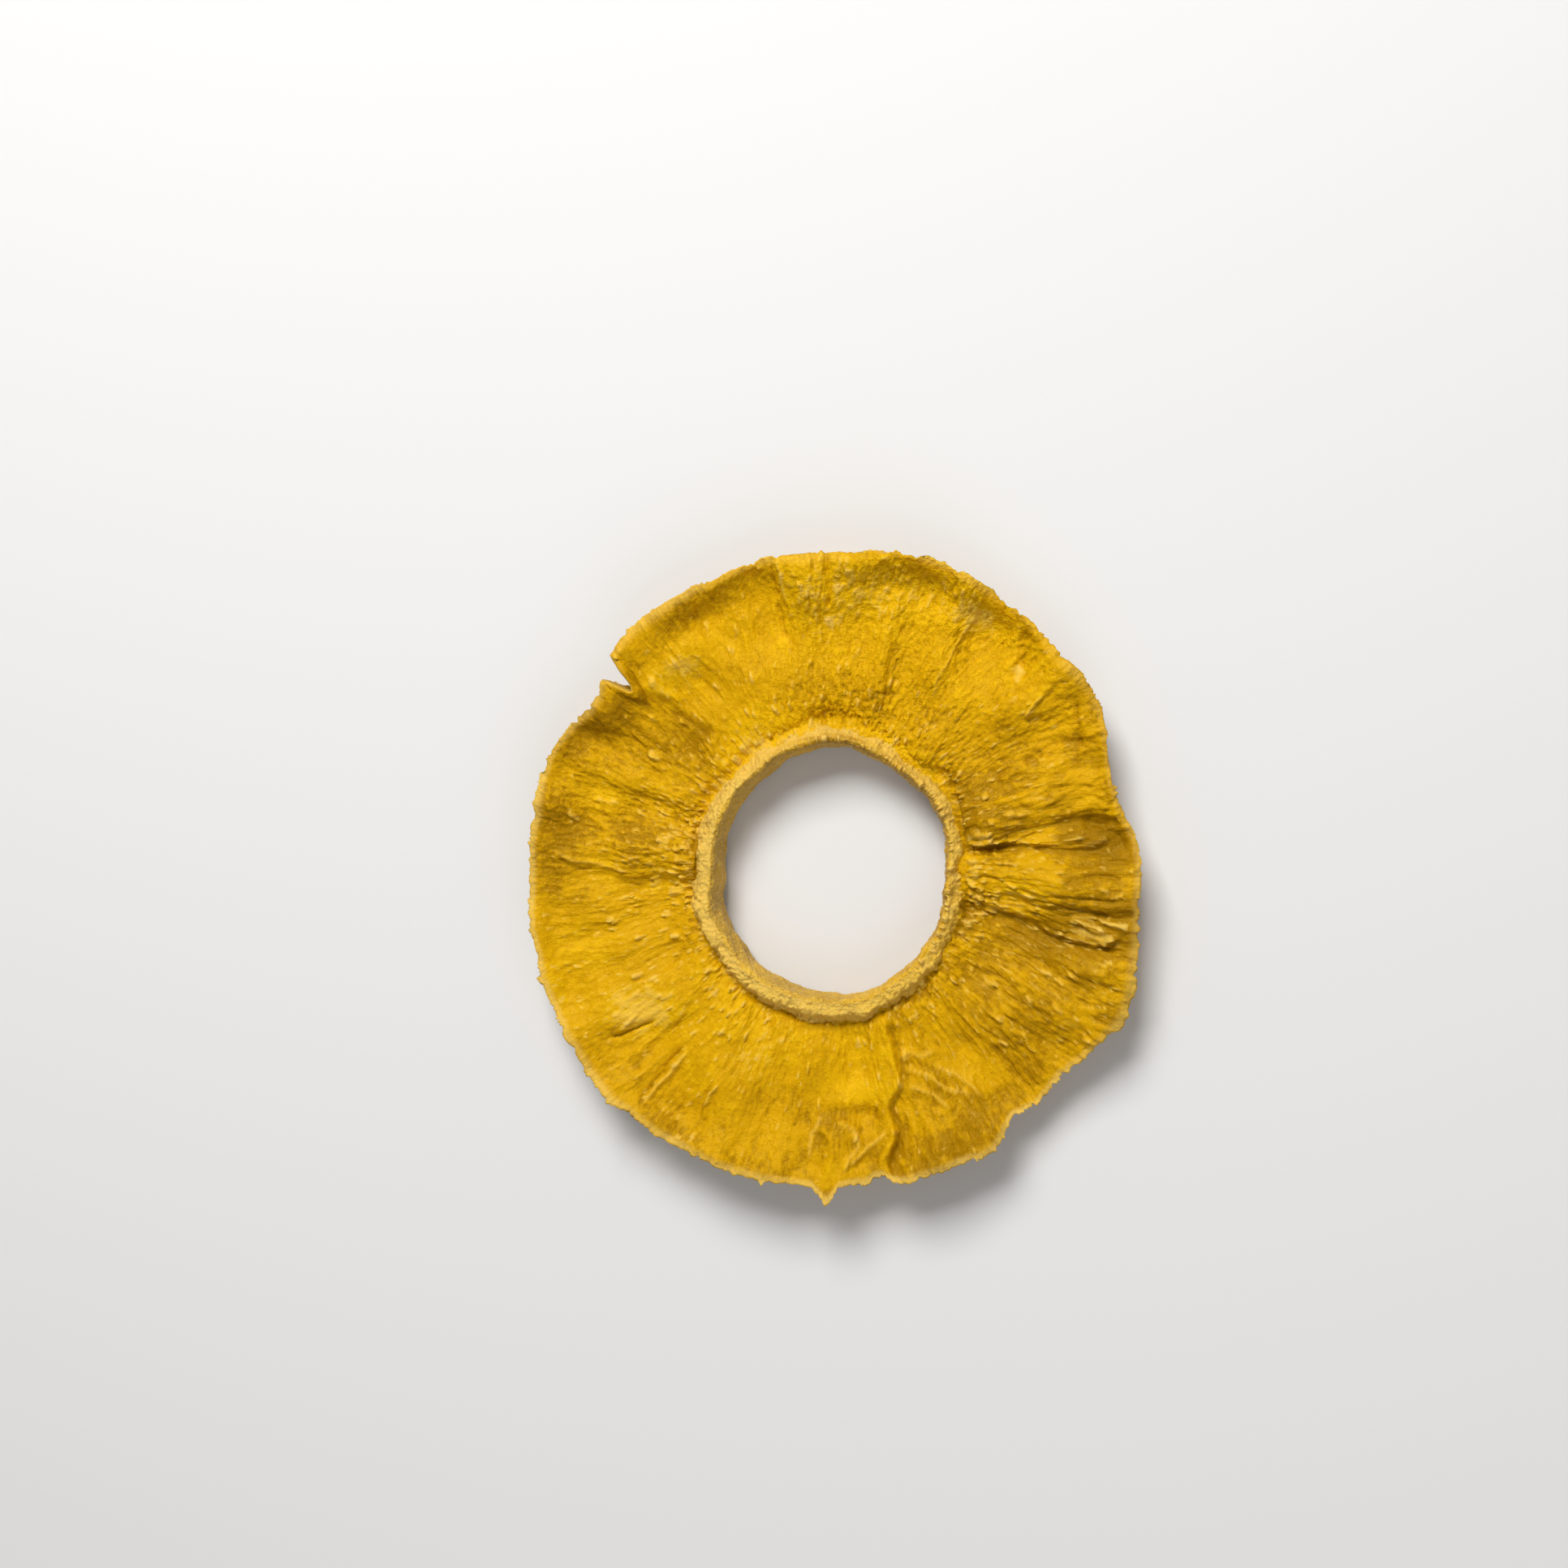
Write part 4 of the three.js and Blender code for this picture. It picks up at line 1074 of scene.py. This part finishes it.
RIM_OF_HOLE = {"columns": 1001, "top": 26, "back": 6, "under": 14, "hole": 52}
COLLAR_REACH = 0.12
FOOT_SHARES = [0.12, 0.115, 0.11, 0.11, 0.115, 0.12]  # the back, on its way down
FOOT_DEPTHS = [0.44, 0.48, 0.55, 0.64, 0.72, 0.8]
TOP_SUNK, UNDER_SUNK = 1.5, 0.7  # how deep the collar's feet go into the web
WIDER = [(200, 1.1, 60), (265, 0.7, 30), (305, 0.9, 30)]
LUMPY = [(330, 0.9, 50), (60, 0.4, 50)]  # where it is lower, and lumpy
NEARLY_FLUSH = [(30, 1, 45)]  # where it hardly stands above the web
TEETH = [(30, 1, 50), (95, 0.8, 40), (310, 0.9, 35), (200, 0.25, 50)]  # along its inner edge
UPPER_SIDE_SHADE = [(88, 1, 32)]  # where shade is painted on it, on the top side of the hole
UNEVEN = [(1.7, 0.5), (0.5, 0.25)]  # (size of a bend of its outer edge, by)
COLLAR_FOOT = COLLAR["width"] - COLLAR["crest"]
TOP_FOOT, UNDER_FOOT = (0.7, 1.9), (1, 2)  # where they go in: in widths of the foot, and from the crest
LOWER_WHERE_LUMPY, LOWER_WHERE_FLUSH = 0.3, 0.35
TALL = {"lumps": 0.09, "teeth": 0.15, "swells": 0.3, "sharp": 0.7, "grains": 0.1, "creases": 0.12}
# How far out from the crest the painted shade on the top side reaches, and how dark it is.
UPPER_SIDE_SHADE_OVER, UPPER_SIDE_SHADE_BY = (0.5, 1.3), 1.3
SHADE, TOP_SHADE_TO, HOLE_SHADE_TO = 0.9, 0.6, 0.9  # inside the crest, and how far down it goes
CREST_SHADE = 0.4
PALENESS = [0.9, 0.3, 0.3, 0.55]  # of its top, back, underside and inside
EDGE_DARKER, EDGE_OVER = 0.8, (0.9, 2)  # its top by its outer edge

part_rows = [RIM_OF_HOLE[part] for part in ("top", "back", "under", "hole")]
collar, places = ring_of("ring_collar", RIM_OF_HOLE["columns"], sum(part_rows))
angle = round_about(RIM_OF_HOLE["columns"])
top_share = np.linspace(0, COLLAR_REACH, RIM_OF_HOLE["top"])[None, :]
under_share = np.linspace(COLLAR_REACH, 0, RIM_OF_HOLE["under"], endpoint=False)[None, :]
up = np.linspace(0, 1, RIM_OF_HOLE["hole"], endpoint=False)[None, :]


def past_crest(angle, radius):
    """How far a place is out from the crest, taken as less where the collar is wide."""
    out = radius - crest_radius(angle)
    wider = lobes(WIDER, angle) + bending(UNEVEN, *around(radius, angle))
    return out - wider * between(out, 0, COLLAR_FOOT)


def collar_top(angle, share):
    radius, height = upper_points(angle, share)
    out = past_crest(angle, radius)
    stands = 1 - LOWER_WHERE_LUMPY * lobes(LUMPY, angle) - LOWER_WHERE_FLUSH * lobes(NEARLY_FLUSH, angle)
    rise = (COLLAR["top"] - WEB_TOP) * stands * (1 - between(out, 0, COLLAR_FOOT))
    sinks, sunk = (widths * COLLAR_FOOT for widths in TOP_FOOT)
    return radius, height + rise - TOP_SUNK * between(out, sinks, sunk)


def collar_under(angle, share):
    radius, height = under_points(angle, share)
    out = radius - crest_radius(angle)
    fall = (WEB_BOTTOM - COLLAR["bottom"]) * (1 - between(out, 0, COLLAR["width"]))
    return radius, np.maximum(0, height - fall + UNDER_SUNK * between(out, *UNDER_FOOT))


HOLE_FULLNESS = 0.8
HOLE_ROUGHNESS = [(0.05, 17, 0, 240)]


def hole_points(angle, up):
    waist = np.sin(np.pi * up) ** HOLE_FULLNESS
    radius = hole_edge(angle) + COLLAR["crest"] * (1 - waist) + waves(HOLE_ROUGHNESS, angle, up) * waist
    bottom, top = collar_under(angle, np.zeros((1, 1)))[1], collar_top(angle, np.zeros((1, 1)))[1]
    return radius, mix(bottom, top, rounded(up))


back_share, back_depth = as_rows(FOOT_SHARES, FOOT_DEPTHS)
skin = section(
    angle,
    (top_share, collar_top(angle, top_share)),
    (back_share, middle_points(angle, back_share, back_depth)),
    (under_share, collar_under(angle, under_share)),
    (np.zeros_like(up), hole_points(angle, up)),
)
x, y, z = (skin[..., i] for i in range(3))
lumpy = 0.1 + lobes(LUMPY, angle)
lumps = puffed(noise(x / 1.2, y / 1.2, z / 1.2))
teeth = noise(x / 0.55, y / 0.55 + 7, z / 0.8)
grains = noise(x / 0.35 + 5, y / 0.35, z / 0.35)
outside = np.repeat([1, 0, 1, 1], part_rows)
relief = lumpy * (TALL["lumps"] * lumps + TALL["teeth"] * teeth)
relief = relief + TALL["swells"] * noise(x / 2.2, y / 2.2, z / 2.2)
from_crest = np.linalg.norm(skin - skin[:, :1], axis=-1)
crest_x, crest_y, crest_z = x[:, :1], y[:, :1], z[:, :1] / 5
sharp = between(noise(crest_x / 0.42, crest_y / 0.42 + 3, crest_z), 0.05, 0.5) * bump(from_crest, 0.28)
sharp = sharp * lobes(TEETH, angle) * between(noise(crest_x / 2.6, crest_y / 2.6, crest_z), -0.6, 0.2)
relief = relief + TALL["sharp"] * sharp + TALL["grains"] * grains
relief = outside * (relief + TALL["creases"] * puffed(noise(x / 3 + 4, y / 3, z / 3)))
skin = skin + facing(skin) * relief[..., None]
put(collar, places, skin)

# Shade painted on the collar's top side, near its crest.
upper_side_shade = lobes(UPPER_SIDE_SHADE, angle) * (1 - between(from_crest, *UPPER_SIDE_SHADE_OVER))
in_hole = np.repeat([0, 0, 0, 1], part_rows)
top_shade = CREST_SHADE * (1 - between(from_crest, 0, TOP_SHADE_TO))
hole_shade = mix(CREST_SHADE, 1, between(from_crest, 0, HOLE_SHADE_TO))
shade = mix(top_shade, hole_shade, in_hole)
raised = np.clip(relief / WALL_RAISED_FULL + 0.1 * lumps, -1, 1)
paleness = np.repeat(PALENESS, part_rows) * np.ones(x.shape)
top = slice(0, RIM_OF_HOLE["top"])
paleness[:, top] -= EDGE_DARKER * between(past_crest(angle, np.hypot(x, y)[:, top]), *EDGE_OVER)
paleness = paleness * (1 - 0.5 * upper_side_shade) - 0.3 * lumpy + 0.2 * grains + 0.3 * lumpy * lumps + 0.9 * sharp
keep(
    collar,
    places,
    raised=raised - UPPER_SIDE_SHADE_BY * upper_side_shade - SHADE * shade,
    pale=np.clip(paleness, 0, 1),
    fibre_way=skin,
    crumb=np.full(skin.shape[:2], 1.0),
)
of_flesh(collar, 0.0002)

# ---- Floor, light and camera -----------------------------------------------------------------
# A plain pale floor, one large soft light from beyond the ring, a weaker one opposite, and a
# camera that looks down on the slice, leaning towards its right.

bpy.ops.object.select_all(action="DESELECT")
bpy.ops.mesh.primitive_plane_add(size=6, location=(0, 0, 0))
floor = bpy.context.object
floor.name = "floor"
floor_finish = bpy.data.materials.new("pale_floor")
floor_finish.use_nodes = True
floor_shader = floor_finish.node_tree.nodes["Principled BSDF"]
floor_shader.inputs["Base Color"].default_value = (0.66, 0.65, 0.63, 1)
floor_shader.inputs["Roughness"].default_value = 0.8
floor.data.materials.append(floor_finish)


def lamp(name, place, size, power):
    bpy.ops.object.light_add(type="AREA", location=place)
    light = bpy.context.object
    light.name = name
    light.data.size = size
    light.data.energy = power
    light.rotation_mode = "QUATERNION"
    light.rotation_quaternion = Vector(place).to_track_quat("Z", "Y")


lamp("key_light", (-0.08, 0.42, 0.50), 0.30, 5.2)
lamp("fill_light", (0.25, -0.45, 0.50), 0.6, 1.4)

world = bpy.data.worlds.new("studio")
world.use_nodes = True
world.node_tree.nodes["Background"].inputs["Color"].default_value = (0.9, 0.92, 1, 1)
world.node_tree.nodes["Background"].inputs["Strength"].default_value = 0.25
bpy.context.scene.world = world
bpy.context.scene.view_settings.view_transform = "Standard"

LENS, SENSOR = 50, 36
FRAME_SIDE = 1932
RING_AT = (1016, 1082)  # where the ring's middle stands in the frame
LEAN = 12  # degrees from straight above, towards +X
DISTANCE = 0.2683
RING_MIDDLE = Vector((0, 0, 0.008))

back = Vector((math.sin(math.radians(LEAN)), 0, math.cos(math.radians(LEAN))))
right = Vector((back.z, 0, -back.x))
upward = back.cross(right)
step = DISTANCE * SENSOR / LENS / FRAME_SIDE
across, down = (place - FRAME_SIDE / 2 for place in RING_AT)
aim = RING_MIDDLE - right * across * step + upward * down * step
bpy.ops.object.camera_add(location=aim + back * DISTANCE)
camera = bpy.context.object
camera.name = "camera"
camera.rotation_mode = "QUATERNION"
camera.rotation_quaternion = Matrix((right, upward, back)).transposed().to_quaternion()
camera.data.lens = LENS
camera.data.sensor_width = SENSOR
camera.data.clip_start = 0.01
bpy.context.scene.camera = camera
